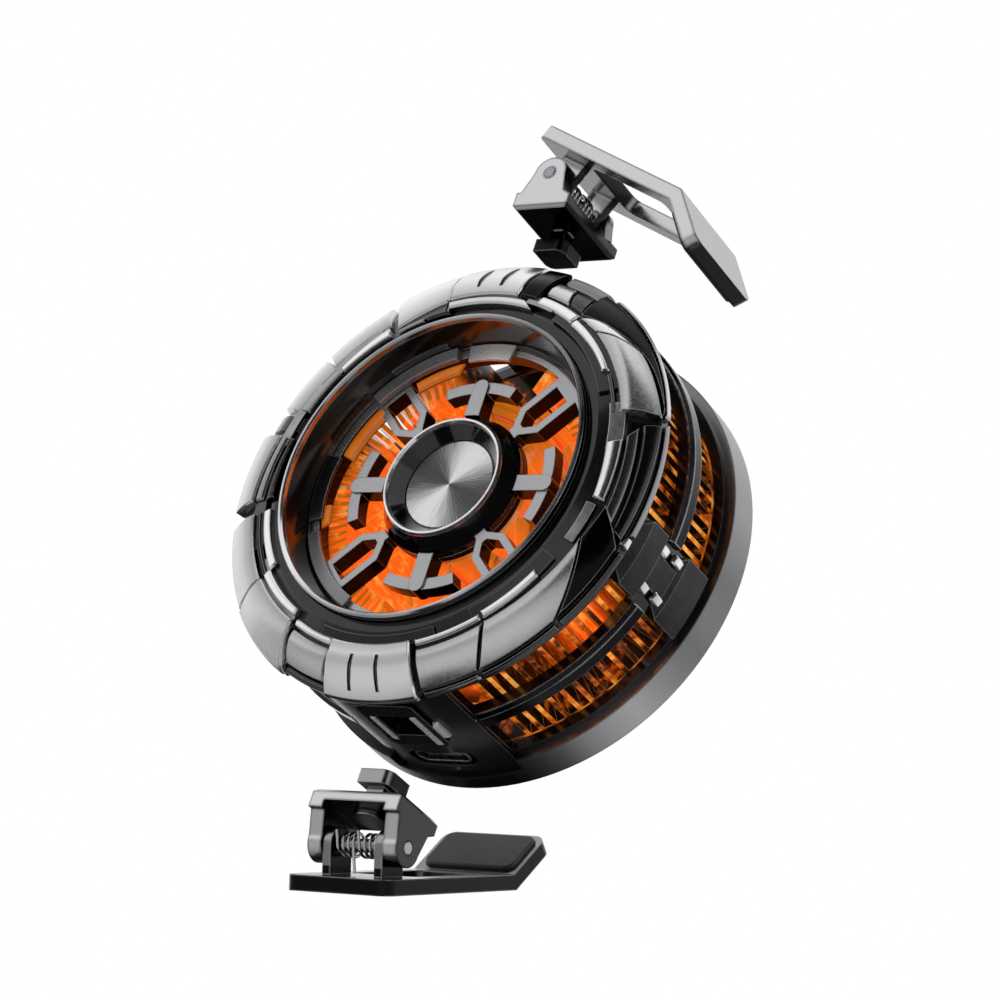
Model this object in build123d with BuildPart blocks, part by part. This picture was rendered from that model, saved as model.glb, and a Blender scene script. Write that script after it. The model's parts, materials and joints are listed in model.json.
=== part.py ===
from build123d import *
import math
import os

os.makedirs("parts", exist_ok=True)

# Clip-on phone cooler, in mm. The cold plate's face is the XZ plane through the origin, and a phone
# lies behind it (+Y). The fan and the window face -Y. +Z points from the lower clip to the upper one.
# A depth is a distance in front of the cold plate's face, and an angle turns from +X towards +Z.

# Fits and common values
overrun = 1.0
running_gap = 0.05
seat_gap = 0.3
press_gap = 0.01
slip_gap = 0.15

# Axial stack, from the rear edge to the front rim
plate_proud = 0.5
base_band = 6.1
rear_row = 8.8
middle_band = 3.0
front_row = 7.3
bezel_depth = 6.9

# Radii of the round body, each set in from the base by a named step or share
base_radius = 35.0
middle_step = 0.6
bezel_step = 0.9
frame_step = 1.4
frame_wall = 1.6
window_inset = 9.4
dish_narrowing = 2.3
hub_share = 0.4286
half_turn = 180.0
middle_radius = base_radius - middle_step
bezel_radius = base_radius - bezel_step
frame_radius = base_radius - frame_step
window_radius = bezel_radius - window_inset
dish_step_radius = window_radius - dish_narrowing
hub_radius = dish_step_radius * hub_share

base_front = plate_proud + base_band
middle_rear = base_front + rear_row
middle_front = middle_rear + middle_band
bezel_rear = middle_front + front_row
rim_front = bezel_rear + bezel_depth

# Base shell
base_wall = 2.0
base_floor = 1.5
base_bevel = 0.7
plate_inset = 8.0
opening_gap = 0.4
cold_plate_radius = base_radius - plate_inset
plate_opening = cold_plate_radius + opening_gap
notch_height = 3.6

# Clip sockets and their blocks
block_step = 0.7
block_radius = base_radius - block_step
block_gap_angle = 0.2
clip_setback = 19.0
clip_depth = plate_proud + clip_setback
block_half_angle = 18.0
socket_width = 5.6
socket_wall = 1.2
seat_width = 9.6
seat_length = 11.6
seat_step = 0.4
seat_radius = base_radius - seat_step
seat_corner = 1.0
rail_height = 0.35
rail_width = 0.9
rail_gap = 0.1

# Rails by each socket: its side, 0 beside the mouth or 1 past the seat, then shares of the frame's
# height at its two ends
rail_shares = [
    (-1, 0, 0.46, 0.82),
    (1, 0, 0.39, 0.82),
    (1, 1, 0.48, 0.68),
]

# Side frame
hoop_height = 0.9
middle_recess = 0.6
strut_start = -25.0
strut_angle = 17.0
cover_rise = 1.1
cover_slope = 1.6
cover_waist_share = 0.45
cover_corner = 1.7

# Clip
pivot_height = 6.1
seat_travel = 11.8
pivot_drawn = seat_radius + seat_gap + pivot_height + seat_travel
lever_width = 17.2
lever_thickness = 2.2
lever_height = 4.05
lever_front = 6.2
lever_back = 24.0
lever_corner = 1.9
paddle_length = 9.5
paddle_bend = 33.0
lever_tilt = 26.7
rail_share = 0.17
window_start = 4.4
window_end_wall = 3.2
bracket_width = 14.9
bracket_front = 4.75
bracket_back = 4.75
bracket_floor = 1.7
cheek_thickness = 2.3
cheek_radius = 2.7
ear_thickness = 1.3
ear_radius = 2.4
pin_radius = 0.95
pin_proud = 0.15
foot_size = 5.0
foot_thickness = 2.1
foot_corner = 1.5
neck_size = 2.7
neck_length = 2.2
swivel_radius = 1.6
rivet_radius = 2.6
rivet_height = 0.8
wire_radius = 0.22
coil_radius = 1.55
coil_pitch = 0.9
coil_turns = 3
spring_tail = 2.1
floor_bevel = 0.5
cheek_step = 1.1
window_corner = 1.2
cheek_shoulder = 0.75
pad_round = 0.3
pad_width = 15.4
pad_length = 8.0
pad_thickness = 1.0
pad_inset = 0.4
pad_corner = 1.6

# Cooling core
cold_plate_thickness = 1.8
cold_plate_step = 1.0
cushion_width = 2.6
cushion_recess = 0.6
module_share = 1.11
module_side = cold_plate_radius * module_share
module_plate = 0.8
module_leg_share = 0.3
module_legs_across = 8
module_thickness = 3.3
gasket_width = 2.0
gasket_gap = 0.2
sink_gap = 0.4
sink_radius = frame_radius - frame_wall - sink_gap
sink_base = 1.7
fin_count = 96
fin_thickness = 0.7
fin_inner_share = 0.582
fin_inner_radius = sink_radius * fin_inner_share
fin_relief = 0.4

# Fan
fan_plate_gap = 0.8
fan_plate_radius = fin_inner_radius - fan_plate_gap
fan_plate_thickness = 1.0
rotor_share = 0.565
rotor_radius = fin_inner_radius * rotor_share
rotor_wall = 0.8
rotor_depth = 10.4
blade_count = 11
blade_tip_gap = 1.0
blade_radius = fin_inner_radius - blade_tip_gap
blade_thickness = 0.8
blade_pitch = 32.0
blade_bow = 0.8
blade_edge = 0.7
blade_clearance = 0.9
magnet_thickness = 1.4
shaft_radius = 1.0
bushing_radius = 2.4
stator_gap = 1.0
stator_radius = rotor_radius - rotor_wall - magnet_thickness - stator_gap
stator_pole_width = 2.0
stator_poles = 6
stator_thickness = 2.4
coil_thickness = 1.0

# Front
grille_setback = 6.1
grille_front = rim_front - grille_setback
grille_thickness = 2.6
grille_ring_width = 1.0
grille_ring_radius = dish_step_radius - grille_ring_width
hub_rise = 1.8
hub_front = grille_front + hub_rise
hub_taper = 1.6
hub_skirt = hub_radius + hub_taper
hub_ring_width = 0.8
hub_ring_height = 0.5
hub_sink = 1.6
cap_bevel = 0.2
tee_drop = 0.3
dish_wall = 1.2
bezel_wall = 1.6
bezel_lip = 1.6
slope_run = 3.5
shoulder_radius = bezel_radius - slope_run
shoulder_drop = 2.9
collar_width = 1.5
collar_radius = window_radius + collar_width
collar_drop = 1.5
cap_share = 0.75
cap_radius = hub_radius * cap_share
cap_sink = 1.9
cap_thickness = 1.0
spoke_count = 4
spoke_run = grille_ring_radius - hub_skirt
tee_share = 0.47
tee_radius = hub_skirt + spoke_run * tee_share
tee_arm_width = 1.8
tee_arm_half_angle = 21.0
tee_stem_width = 2.5
frame_half_width = 2.9
frame_turn = 45.0
frame_rail = 1.15
frame_tip_share = 0.07
frame_shoulder_share = 0.31
frame_tip = hub_skirt + spoke_run * frame_tip_share
frame_shoulder = hub_skirt + spoke_run * frame_shoulder_share
frame_tip_half_width = 0.9
rim_width = 0.8
rim_height = 1.0

# Armour on the bezel
armour_thickness = 1.1
armour_cut = 0.35
edge_bevel = 0.25
side_share = 0.3
slit_angle = 3.6
slit_half_angle = 0.65
slit_share = 0.5

# Ledges in the dish: first and last angle, then shares of the dish step's radius and the ledge height
ledge_height = 1.0
ledge_shares = [
    (104.0, 141.0, 0.933, 0.9),
    (79.0, 99.0, 0.902, 0.5),
    (-158.0, -118.0, 0.9375, 0.6),
    (168.0, 196.0, 0.92, 0.5),
]

# Armour plates: name, first and last angle, then shares of the lift, the reach and the skirt
armour_shares = [
    ("badge_lower", -103.5, -76.5, 1.25, 0.35, 0.6),
    ("armour_lower_right", -54.0, -26.0, 1.15, 0.3, 0.7),
    ("armour_right_low", -26.0, 4.0, 1.3, 0.2, 1.0),
    ("armour_right_high", 20.0, 62.0, 1.2, 0.15, 1.0),
    ("badge_upper", 76.5, 103.5, 1.25, 0.35, 0.6),
    ("armour_upper_left", 103.5, 122.0, 1.0, 0.5, 0.5),
    ("plate_upper_left", 124.0, 143.0, 0.8, 0.2, 0.5),
    ("plate_left_high", 143.0, 160.0, 0.6, 0.25, 0.4),
    ("plate_left", 160.0, 178.0, 0.8, 0.3, 0.4),
    ("armour_left", 181.0, 211.0, 1.1, 0.1, 0.9),
    ("armour_lower_left", 211.0, 241.0, 1.2, 0.25, 0.7),
]

# Lower steps between the plates: first and last angle, then the same shares
step_shares = [
    (-76.5, -54.0, 0.75, 0.1, 0.3),
    (4.0, 20.0, 0.8, 0.05, 0.5),
    (62.0, 76.5, 0.75, 0.3, 0.3),
    (242.0, 256.5, 0.7, 0.1, 0.3),
]

# Collar trims: first and last angle, then shares for inner edge, outer edge and lift
collar_shares = [
    ("collar_trims_dark", [
        (25.0, 62.0, 0.1, 0.78, 0.55),
        (-58.0, -30.0, 0.12, 0.6, 0.5),
        (-110.0, -70.0, 0.15, 0.5, 0.4),
        (104.0, 118.0, 0.0, 0.42, 0.7),
        (181.0, 206.0, 0.35, 0.88, 0.5),
    ]),
    ("collar_trims_bright", [
        (4.5, 19.5, 0.45, 0.92, 0.9),
        (-24.0, -12.0, 0.45, 0.75, 0.6),
        (64.0, 75.0, 0.3, 0.65, 0.9),
        (76.5, 103.5, 0.1, 0.55, 0.6),
        (126.0, 144.0, 0.0, 0.7, 0.9),
        (150.0, 172.0, 0.2, 0.7, 0.7),
        (212.0, 238.0, 0.3, 0.65, 0.5),
    ]),
]

# Electronics
socket_shell_width = 9.0
socket_shell_height = 3.2
socket_shell_length = 7.4
socket_shell_wall = 0.35
socket_slot_width = 11.0
socket_slot_height = 3.9
tongue_thickness = 0.7
inlet_recess = 0.5
board_thickness = 0.8
board_width = 13.0
board_length = 5.4
led_count = 12
led_size = 2.0
led_height = 0.7
led_board_width = 4.8
screw_radius = 1.0
screw_head_radius = 1.7
screw_inset = 1.4
screw_head_height = 1.0
screw_count = 4


def radialPlane(angle):
    turn = math.radians(angle)
    along = (math.cos(turn), 0, math.sin(turn))
    across = (-math.sin(turn), 0, math.cos(turn))
    return Plane(origin=(0, 0, 0), x_dir=along, z_dir=across)


def frontPlane(depth):
    return Plane.XZ.offset(depth)


def outwardPlane(side, radius):
    # faces up or down at a height; its y is the depth
    return Plane(origin=(0, 0, side * radius), x_dir=(-side, 0, 0), z_dir=(0, 0, side))


def profile(points):
    # points of radius and depth, as they lie on a plane through the axis
    return [(radius, -depth) for radius, depth in points]


def save(part, name):
    part.label = name
    export_step(part, f"parts/{name}.step")


def ring(points):
    # a full turn of a profile of radius and depth
    with BuildPart() as turned:
        with BuildSketch(radialPlane(0)):
            Polygon(*profile(points), align=None)
        revolve(axis=Axis.Y)
    return turned.part


def arcBlock(points, first, last):
    # the same profile turned only from one angle to another
    with BuildPart() as turned:
        with BuildSketch(radialPlane(last)):
            Polygon(*profile(points), align=None)
        revolve(axis=Axis.Y, revolution_arc=last - first)
    return turned.part


def band(inner, outer, rear, front):
    return [(inner, rear), (outer, rear), (outer, front), (inner, front)]


# Base shell: a floor round the cold plate and a metal band, notched where the lower block reaches down
notch_rear = plate_proud + notch_height
base_points = [
    (plate_opening, plate_proud),
    (base_radius - base_bevel, plate_proud),
    (base_radius, plate_proud + base_bevel),
    (base_radius, base_front),
    (base_radius - base_wall, base_front),
    (base_radius - base_wall, plate_proud + base_floor),
    (plate_opening, plate_proud + base_floor),
]
screw_circle = sink_radius - screw_inset
screw_start = 45.0
with BuildPart() as base_shell:
    add(ring(base_points))
    add(arcBlock(
        band(base_radius - base_wall - overrun, base_radius + overrun, notch_rear, base_front + overrun),
        -90.0 - block_half_angle, block_half_angle - 90.0,
    ), mode=Mode.SUBTRACT)
    with BuildSketch(frontPlane(plate_proud)):
        with PolarLocations(screw_circle, screw_count, start_angle=screw_start):
            Circle(screw_head_radius + running_gap)
    extrude(amount=screw_head_height / 2, mode=Mode.SUBTRACT)
    with BuildSketch(frontPlane(plate_proud)):
        with PolarLocations(screw_circle, screw_count, start_angle=screw_start):
            Circle(screw_radius + running_gap)
    extrude(amount=base_floor + overrun, mode=Mode.SUBTRACT)
save(base_shell.part, "base_shell")

# Screws from the rear, through the floor into the sink's base
sink_rear = plate_proud + cold_plate_thickness + module_thickness
with BuildPart() as screws:
    with BuildSketch(frontPlane(plate_proud + running_gap)):
        with PolarLocations(screw_circle, screw_count, start_angle=screw_start):
            Circle(screw_head_radius)
    extrude(amount=screw_head_height / 2 - running_gap)
    with BuildSketch(frontPlane(plate_proud + screw_head_height / 2)):
        with PolarLocations(screw_circle, screw_count, start_angle=screw_start):
            Circle(screw_radius)
    extrude(amount=sink_rear + sink_base - plate_proud - screw_head_height)
save(screws.part, "housing_screws")

# Cold plate, with a step that the base shell's floor holds, and the soft ring round its face
cold_front = cold_plate_thickness + plate_proud
cold_plate_solid = ring([
    (0, 0),
    (cold_plate_radius - cushion_width - slip_gap, 0),
    (cold_plate_radius - cushion_width - slip_gap, cold_plate_step),
    (cold_plate_radius, cold_plate_step),
    (cold_plate_radius, cold_front),
    (0, cold_front),
])
save(cold_plate_solid, "cold_plate")
cushion = ring([
    (cold_plate_radius - cushion_width, running_gap),
    (cold_plate_radius, running_gap + cushion_recess / 2),
    (cold_plate_radius, cold_plate_step),
    (cold_plate_radius - cushion_width, cold_plate_step),
])
save(cushion, "cushion_ring")

# Cooling module: two ceramic plates with rows of legs between them
leg_pitch = module_side / module_legs_across
with BuildPart() as cooling_module:
    with BuildSketch(frontPlane(cold_front)):
        Rectangle(module_side, module_side)
    extrude(amount=module_plate)
    with BuildSketch(frontPlane(sink_rear - module_plate)):
        Rectangle(module_side, module_side)
    extrude(amount=module_plate)
    with BuildSketch(frontPlane(cold_front + module_plate)):
        with GridLocations(leg_pitch, leg_pitch, module_legs_across, module_legs_across):
            Rectangle(leg_pitch * module_leg_share, leg_pitch * module_leg_share)
    extrude(amount=sink_rear - cold_front - 2 * module_plate)
save(cooling_module.part, "cooling_module")
with BuildPart() as gasket:
    with BuildSketch(frontPlane(cold_front)):
        outer_side = module_side + 2 * (gasket_gap + gasket_width)
        inner_side = module_side + 2 * gasket_gap
        Rectangle(outer_side, outer_side)
        Rectangle(inner_side, inner_side, mode=Mode.SUBTRACT)
    extrude(amount=sink_rear - cold_front)
save(gasket.part, "module_gasket")

# Heat sink: a base disc and thin radial fins, left out where the clip blocks stand
fin_front = bezel_rear - hoop_height - fin_relief
fin_step = 360.0 / fin_count
block_clear = block_half_angle + fin_step / 2
fin_angles = [step * fin_step for step in range(fin_count)]
fin_angles = [angle for angle in fin_angles if abs(abs((angle + 180.0) % 360.0 - 180.0) - 90.0) > block_clear]
fin_length = sink_radius - fin_inner_radius
fan_seat = sink_rear + sink_base
with BuildPart() as heat_sink:
    with BuildSketch(frontPlane(sink_rear)):
        Circle(sink_radius)
    extrude(amount=sink_base)
    with BuildSketch(frontPlane(fan_seat - running_gap)):
        for angle in fin_angles:
            with PolarLocations(fin_inner_radius + fin_length / 2, 1, start_angle=angle):
                Rectangle(fin_length, fin_thickness)
    extrude(amount=fin_front - fan_seat + running_gap)
    with BuildSketch(frontPlane(sink_rear)):
        with PolarLocations(screw_circle, screw_count, start_angle=screw_start):
            Circle(screw_radius + running_gap)
    extrude(amount=sink_base, mode=Mode.SUBTRACT)
    add(ring([
        (fin_inner_radius - overrun, grille_front - grille_thickness - fin_relief),
        (dish_step_radius + dish_wall + fin_relief, grille_front - grille_thickness - fin_relief),
        (dish_step_radius + dish_wall + fin_relief, fin_front + overrun),
        (fin_inner_radius - overrun, fin_front + overrun),
    ]), mode=Mode.SUBTRACT)
    with BuildSketch(frontPlane(sink_rear)):
        with Locations((0, -sink_radius)):
            Rectangle(board_width + 2 * seat_gap, 2 * (board_length + frame_wall))
    extrude(amount=sink_base, mode=Mode.SUBTRACT)
save(heat_sink.part, "heat_sink")

# Side frame: a tube with eight windows, which leave three hoops, two clip blocks and two struts
frame_inner = frame_radius - frame_wall
slot_depth = base_front + socket_slot_height / 2 + slip_gap
insert_side = socket_width + 2 * socket_wall
with BuildPart() as side_frame:
    add(ring(band(frame_inner, frame_radius, base_front, bezel_rear)))
    for centre, rear in ((90.0, base_front), (-90.0, notch_rear + running_gap)):
        cut_angle = block_half_angle - block_gap_angle
        block_outline = band(frame_inner, block_radius, rear, bezel_rear)
        add(arcBlock(block_outline, centre - cut_angle, centre + cut_angle))
    window_rows = ((base_front + hoop_height, middle_rear), (middle_front, bezel_rear - hoop_height))
    for turn in (0, half_turn):
        for rear, front in window_rows:
            opening = band(frame_inner - overrun, frame_radius + overrun, rear, front)
            strut_end = strut_start + strut_angle + turn
            add(arcBlock(opening, strut_end, 90.0 - block_half_angle + turn), mode=Mode.SUBTRACT)
            add(arcBlock(opening, block_half_angle - 90.0 + turn, strut_start + turn), mode=Mode.SUBTRACT)
    for side in (-1, 1):
        with BuildSketch(outwardPlane(side, frame_inner - overrun)):
            with Locations((0, clip_depth)):
                Rectangle(insert_side + running_gap, insert_side + running_gap)
        extrude(amount=block_radius - frame_inner + 2 * overrun, mode=Mode.SUBTRACT)
    with BuildSketch(outwardPlane(-1, frame_inner - overrun)):
        with Locations((0, slot_depth)):
            RectangleRounded(socket_slot_width, socket_slot_height, socket_slot_height / 2 - running_gap)
    extrude(amount=block_radius - frame_inner + 2 * overrun, mode=Mode.SUBTRACT)
    with BuildSketch(outwardPlane(-1, frame_inner - overrun)):
        with Locations((0, slot_depth - socket_shell_height / 2 - board_thickness / 2)):
            Rectangle(board_width + seat_gap, board_thickness + seat_gap)
    extrude(amount=overrun + frame_wall / 2, mode=Mode.SUBTRACT)
save(side_frame.part, "side_frame")

# Silver hoop round the middle, faceted strut covers and the rails beside each clip socket
hoop_points = [
    (frame_radius, middle_rear + middle_recess),
    (middle_radius - middle_recess, middle_rear),
    (middle_radius, middle_rear + middle_recess),
    (middle_radius, middle_front - middle_recess),
    (middle_radius - middle_recess, middle_front),
    (frame_radius, middle_front),
]
with BuildPart() as middle_ring:
    add(ring(hoop_points))
    for first in (-90.0 - block_half_angle, 90.0 - block_half_angle, strut_start, strut_start + half_turn):
        wide = strut_angle if first in (strut_start, strut_start + half_turn) else 2 * block_half_angle
        gap_block = band(frame_inner, middle_radius + overrun, middle_rear - overrun, middle_front + overrun)
        add(arcBlock(gap_block, first, first + wide), mode=Mode.SUBTRACT)
save(middle_ring.part, "middle_ring")


def facingPlane(angle, radius):
    # faces outward at an angle; its y is the depth
    turn = math.radians(angle)
    outward = (math.cos(turn), 0, math.sin(turn))
    return Plane(
        origin=(radius * outward[0], 0, radius * outward[2]),
        x_dir=(-outward[2], 0, outward[0]), z_dir=outward,
    )


cover_half_width = frame_radius * math.sin(math.radians(strut_angle / 2))


def coverPlate(first, rear, front):
    # a plate with sloped ends and cut corners that covers a strut between two depths
    with BuildPart() as plate:
        add(arcBlock([
            (frame_radius, rear), (frame_radius + cover_rise, rear + cover_slope),
            (frame_radius + cover_rise, front - cover_slope), (frame_radius, front),
        ], first, first + strut_angle))
        with BuildSketch(facingPlane(first + strut_angle / 2, frame_inner)):
            corner_width = cover_half_width - cover_corner
            Polygon(
                (-cover_half_width, rear + cover_corner), (-cover_half_width, front - cover_corner),
                (-corner_width, front), (corner_width, front),
                (cover_half_width, front - cover_corner), (cover_half_width, rear + cover_corner),
                (corner_width, rear), (-corner_width, rear), align=None,
            )
        extrude(amount=frame_wall + cover_rise + overrun, mode=Mode.INTERSECT)
    return plate.part


cover_rows = ((base_front + running_gap, middle_rear), (middle_front, bezel_rear - running_gap))
waist_radius = frame_radius + cover_rise / 2
waist_angle = strut_angle * cover_waist_share
for label, first in (("strut_cover_right", strut_start), ("strut_cover_left", strut_start + half_turn)):
    with BuildPart() as cover:
        for rear, front in cover_rows:
            add(coverPlate(first, rear, front))
        waist_first = first + (strut_angle - waist_angle) / 2
        waist = band(frame_radius, waist_radius, middle_rear - cover_slope, middle_front + cover_slope)
        add(arcBlock(waist, waist_first, waist_first + waist_angle))
    save(cover.part, label)

frame_height = bezel_rear - base_front
with BuildPart() as rails:
    for centre in (-90.0, 90.0):
        for side, past_share, rear_share, front_share in rail_shares:
            rail_rear = base_front + frame_height * rear_share
            rail_front = base_front + frame_height * front_share
            near_edge = socket_width / 2 + rail_gap + past_share * (seat_width - socket_width) / 2
            rail_seat = block_radius if past_share else math.hypot(seat_radius, near_edge + rail_width)
            near_angle = side * math.degrees(math.asin(near_edge / rail_seat))
            far_angle = side * math.degrees(math.asin((near_edge + rail_width) / rail_seat))
            add(arcBlock([
                (rail_seat, rail_rear),
                (seat_radius + rail_height, rail_rear + rail_height),
                (seat_radius + rail_height, rail_front - rail_height),
                (rail_seat, rail_front),
            ], centre + min(near_angle, far_angle), centre + max(near_angle, far_angle)))
save(rails.part, "socket_rails")

# Metal sockets that take the feet of the clips
foot_bottom = seat_radius + seat_gap - neck_length - foot_thickness
socket_floor = foot_bottom - seat_gap
for label, side in (("clip_socket_upper", 1), ("clip_socket_lower", -1)):
    flange_bottom = block_radius + running_gap
    with BuildPart() as clip_socket:
        with BuildSketch(outwardPlane(side, socket_floor - socket_wall)):
            with Locations((0, clip_depth)):
                Rectangle(insert_side, insert_side)
        extrude(amount=flange_bottom - socket_floor + socket_wall)
        with BuildSketch(outwardPlane(side, flange_bottom)):
            with Locations((0, clip_depth)):
                RectangleRounded(seat_width, seat_length, seat_corner)
        extrude(amount=seat_radius - flange_bottom)
        with BuildSketch(outwardPlane(side, socket_floor)):
            with Locations((0, clip_depth)):
                Rectangle(socket_width, socket_width)
        extrude(amount=seat_radius - socket_floor + overrun, mode=Mode.SUBTRACT)
    save(clip_socket.part, label)

# Charging inlet: a shell with a tongue, on a small board behind the slot in the lower block
inlet_mouth = -block_radius + inlet_recess
with BuildPart() as inlet:
    with BuildSketch(Plane.XY.offset(inlet_mouth)):
        with Locations((0, -slot_depth)):
            RectangleRounded(socket_shell_width, socket_shell_height, socket_shell_height / 2 - running_gap)
    extrude(amount=socket_shell_length)
    with BuildSketch(Plane.XY.offset(inlet_mouth)):
        with Locations((0, -slot_depth)):
            bore_width = socket_shell_width - 2 * socket_shell_wall
            bore_height = socket_shell_height - 2 * socket_shell_wall
            RectangleRounded(bore_width, bore_height, bore_height / 2 - running_gap)
    extrude(amount=socket_shell_length - socket_shell_wall, mode=Mode.SUBTRACT)
    with BuildSketch(Plane.XY.offset(inlet_mouth + socket_shell_wall)):
        with Locations((0, -slot_depth)):
            Rectangle(socket_shell_width - 2 * socket_shell_height / 2, tongue_thickness)
    extrude(amount=socket_shell_length - socket_shell_wall)
save(inlet.part, "charging_inlet")
with BuildPart() as inlet_board:
    with BuildSketch(Plane.XY.offset(inlet_mouth + frame_wall + socket_shell_wall)):
        with Locations((0, -slot_depth + socket_shell_height / 2 + board_thickness / 2)):
            Rectangle(board_width, board_thickness)
    extrude(amount=board_length)
save(inlet_board.part, "inlet_board")

# Front bezel, a stepped shell
lip_front = bezel_rear + bezel_lip
shoulder_front = rim_front - shoulder_drop
collar_front = rim_front - collar_drop
seat_radius_front = window_radius + slip_gap
bezel_solid = ring([
    (bezel_radius - bezel_wall, bezel_rear),
    (bezel_radius, bezel_rear),
    (bezel_radius, lip_front),
    (shoulder_radius, shoulder_front),
    (collar_radius, collar_front),
    (seat_radius_front, collar_front),
    (seat_radius_front, collar_front - bezel_wall),
    (shoulder_radius - bezel_wall / 2, shoulder_front - bezel_wall),
    (bezel_radius - bezel_wall, lip_front - bezel_wall / 2),
])
save(bezel_solid, "front_bezel")

# Chrome rim and the dark dish wall behind it
rim_inner = window_radius - rim_width
rim_solid = ring([
    (rim_inner, rim_front - rim_height),
    (window_radius, rim_front - rim_height),
    (window_radius, rim_front - rim_width / 3),
    (window_radius - rim_width / 3, rim_front),
    (rim_inner + rim_width / 3, rim_front),
    (rim_inner, rim_front - rim_width / 3),
])
save(rim_solid, "window_rim")
grille_rear = grille_front - grille_thickness
dish_outer = dish_step_radius + dish_wall
dish_solid = ring([
    (rim_inner, rim_front - rim_height),
    (window_radius, rim_front - rim_height),
    (window_radius, collar_front - bezel_wall),
    (dish_outer, grille_front),
    (dish_outer, grille_rear),
    (dish_step_radius, grille_rear),
    (dish_step_radius, grille_front + slip_gap),
    (dish_step_radius + dish_wall / 2, grille_front + slip_gap),
])
save(dish_solid, "dish_wall")
with BuildPart() as ledges:
    for first, last, inner_share, height_share in ledge_shares:
        add(arcBlock(band(
            dish_step_radius * inner_share, dish_step_radius + dish_wall / 3,
            grille_front + slip_gap, grille_front + slip_gap + ledge_height * height_share,
        ), first, last))
save(ledges.part, "dish_ledges")

# Grille: a ring and a centre disc joined by four pointed frames, with four T spokes on the disc
hub_seat = grille_front - hub_sink
with BuildPart() as grille:
    with BuildSketch(frontPlane(grille_rear)):
        Circle(dish_step_radius - running_gap)
        Circle(grille_ring_radius, mode=Mode.SUBTRACT)
        with PolarLocations(0, spoke_count, start_angle=frame_turn):
            Polygon(
                (hub_skirt - frame_rail, frame_tip_half_width),
                (frame_tip, frame_tip_half_width),
                (frame_shoulder, frame_half_width),
                (grille_ring_radius + running_gap, frame_half_width),
                (grille_ring_radius + running_gap, -frame_half_width),
                (frame_shoulder, -frame_half_width),
                (frame_tip, -frame_tip_half_width),
                (hub_skirt - frame_rail, -frame_tip_half_width),
                align=None,
            )
        with PolarLocations(0, spoke_count, start_angle=frame_turn):
            Polygon(
                (frame_tip + frame_rail, frame_rail / 3),
                (frame_shoulder + frame_rail / 3, frame_half_width - frame_rail),
                (grille_ring_radius - frame_rail, frame_half_width - frame_rail),
                (grille_ring_radius - frame_rail, frame_rail - frame_half_width),
                (frame_shoulder + frame_rail / 3, frame_rail - frame_half_width),
                (frame_tip + frame_rail, -frame_rail / 3),
                align=None, mode=Mode.SUBTRACT,
            )
        with PolarLocations((hub_skirt + tee_radius) / 2, spoke_count):
            SlotOverall(tee_radius - hub_skirt + tee_stem_width, tee_stem_width)
    extrude(amount=grille_thickness)
    for turn in range(spoke_count):
        with BuildSketch(frontPlane(grille_rear)):
            with BuildLine():
                first = 2 * half_turn / spoke_count * turn - tee_arm_half_angle
                inner_arc = CenterArc((0, 0), tee_radius - tee_arm_width / 2, first, 2 * tee_arm_half_angle)
                outer_arc = CenterArc((0, 0), tee_radius + tee_arm_width / 2, first, 2 * tee_arm_half_angle)
                Line(inner_arc @ 0, outer_arc @ 0)
                Line(inner_arc @ 1, outer_arc @ 1)
            make_face()
        extrude(amount=grille_thickness - tee_drop)
    with BuildSketch(frontPlane(hub_seat)):
        Circle(hub_skirt + running_gap)
    extrude(amount=hub_sink + overrun, mode=Mode.SUBTRACT)
    with BuildSketch(frontPlane(grille_rear)):
        Circle(hub_skirt + running_gap)
    extrude(amount=hub_seat - grille_rear)
save(grille.part, "front_grille")

# Hub: a tapered drum with a chrome ring and a sunk brushed cap
cap_front = hub_front - cap_sink
hub_points = [
    (0, hub_seat),
    (hub_skirt - running_gap, hub_seat),
    (hub_skirt - running_gap, grille_front - hub_sink / 2),
    (hub_radius, hub_front),
    (hub_radius - hub_ring_width, hub_front),
    (cap_radius + running_gap, cap_front),
    (cap_radius + running_gap, cap_front - cap_thickness),
    (0, cap_front - cap_thickness),
]
save(ring(hub_points), "hub_drum")
save(ring([
    (hub_radius - hub_ring_width, hub_front),
    (hub_radius, hub_front),
    (hub_radius - hub_ring_height / 2, hub_front + hub_ring_height),
    (hub_radius - hub_ring_width + hub_ring_height / 2, hub_front + hub_ring_height),
]), "hub_ring")
save(ring([
    (0, cap_front - cap_thickness),
    (cap_radius, cap_front - cap_thickness),
    (cap_radius, cap_front - cap_bevel),
    (cap_radius - cap_bevel, cap_front),
    (0, cap_front),
]), "hub_cap")

# Fan: a plate with a bushing, the stator on it, and a cup with blades that turns round it
rotor_front = grille_rear - blade_clearance
rotor_rear = rotor_front - rotor_depth
plate_front = fan_seat + fan_plate_thickness
with BuildPart() as fan_plate:
    with BuildSketch(frontPlane(fan_seat)):
        Circle(fan_plate_radius)
    extrude(amount=fan_plate_thickness)
    with BuildSketch(frontPlane(plate_front)):
        Circle(bushing_radius + rotor_wall)
        Circle(bushing_radius, mode=Mode.SUBTRACT)
    extrude(amount=rotor_rear - plate_front)
save(fan_plate.part, "fan_plate")
bushing_front = rotor_front - rotor_wall - blade_clearance
save(ring(band(shaft_radius + running_gap, bushing_radius, plate_front, bushing_front)), "shaft_bushing")
stator_rear = rotor_rear + blade_clearance
with BuildPart() as stator:
    with BuildSketch(frontPlane(stator_rear)):
        Circle(bushing_radius + rotor_wall * 2)
        with PolarLocations(stator_radius / 2, stator_poles):
            Rectangle(stator_radius, stator_pole_width)
        with PolarLocations(stator_radius - rotor_wall / 2, stator_poles):
            Rectangle(rotor_wall, stator_pole_width * 2)
        Circle(bushing_radius, mode=Mode.SUBTRACT)
    extrude(amount=stator_thickness)
save(stator.part, "stator_core")
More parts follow.
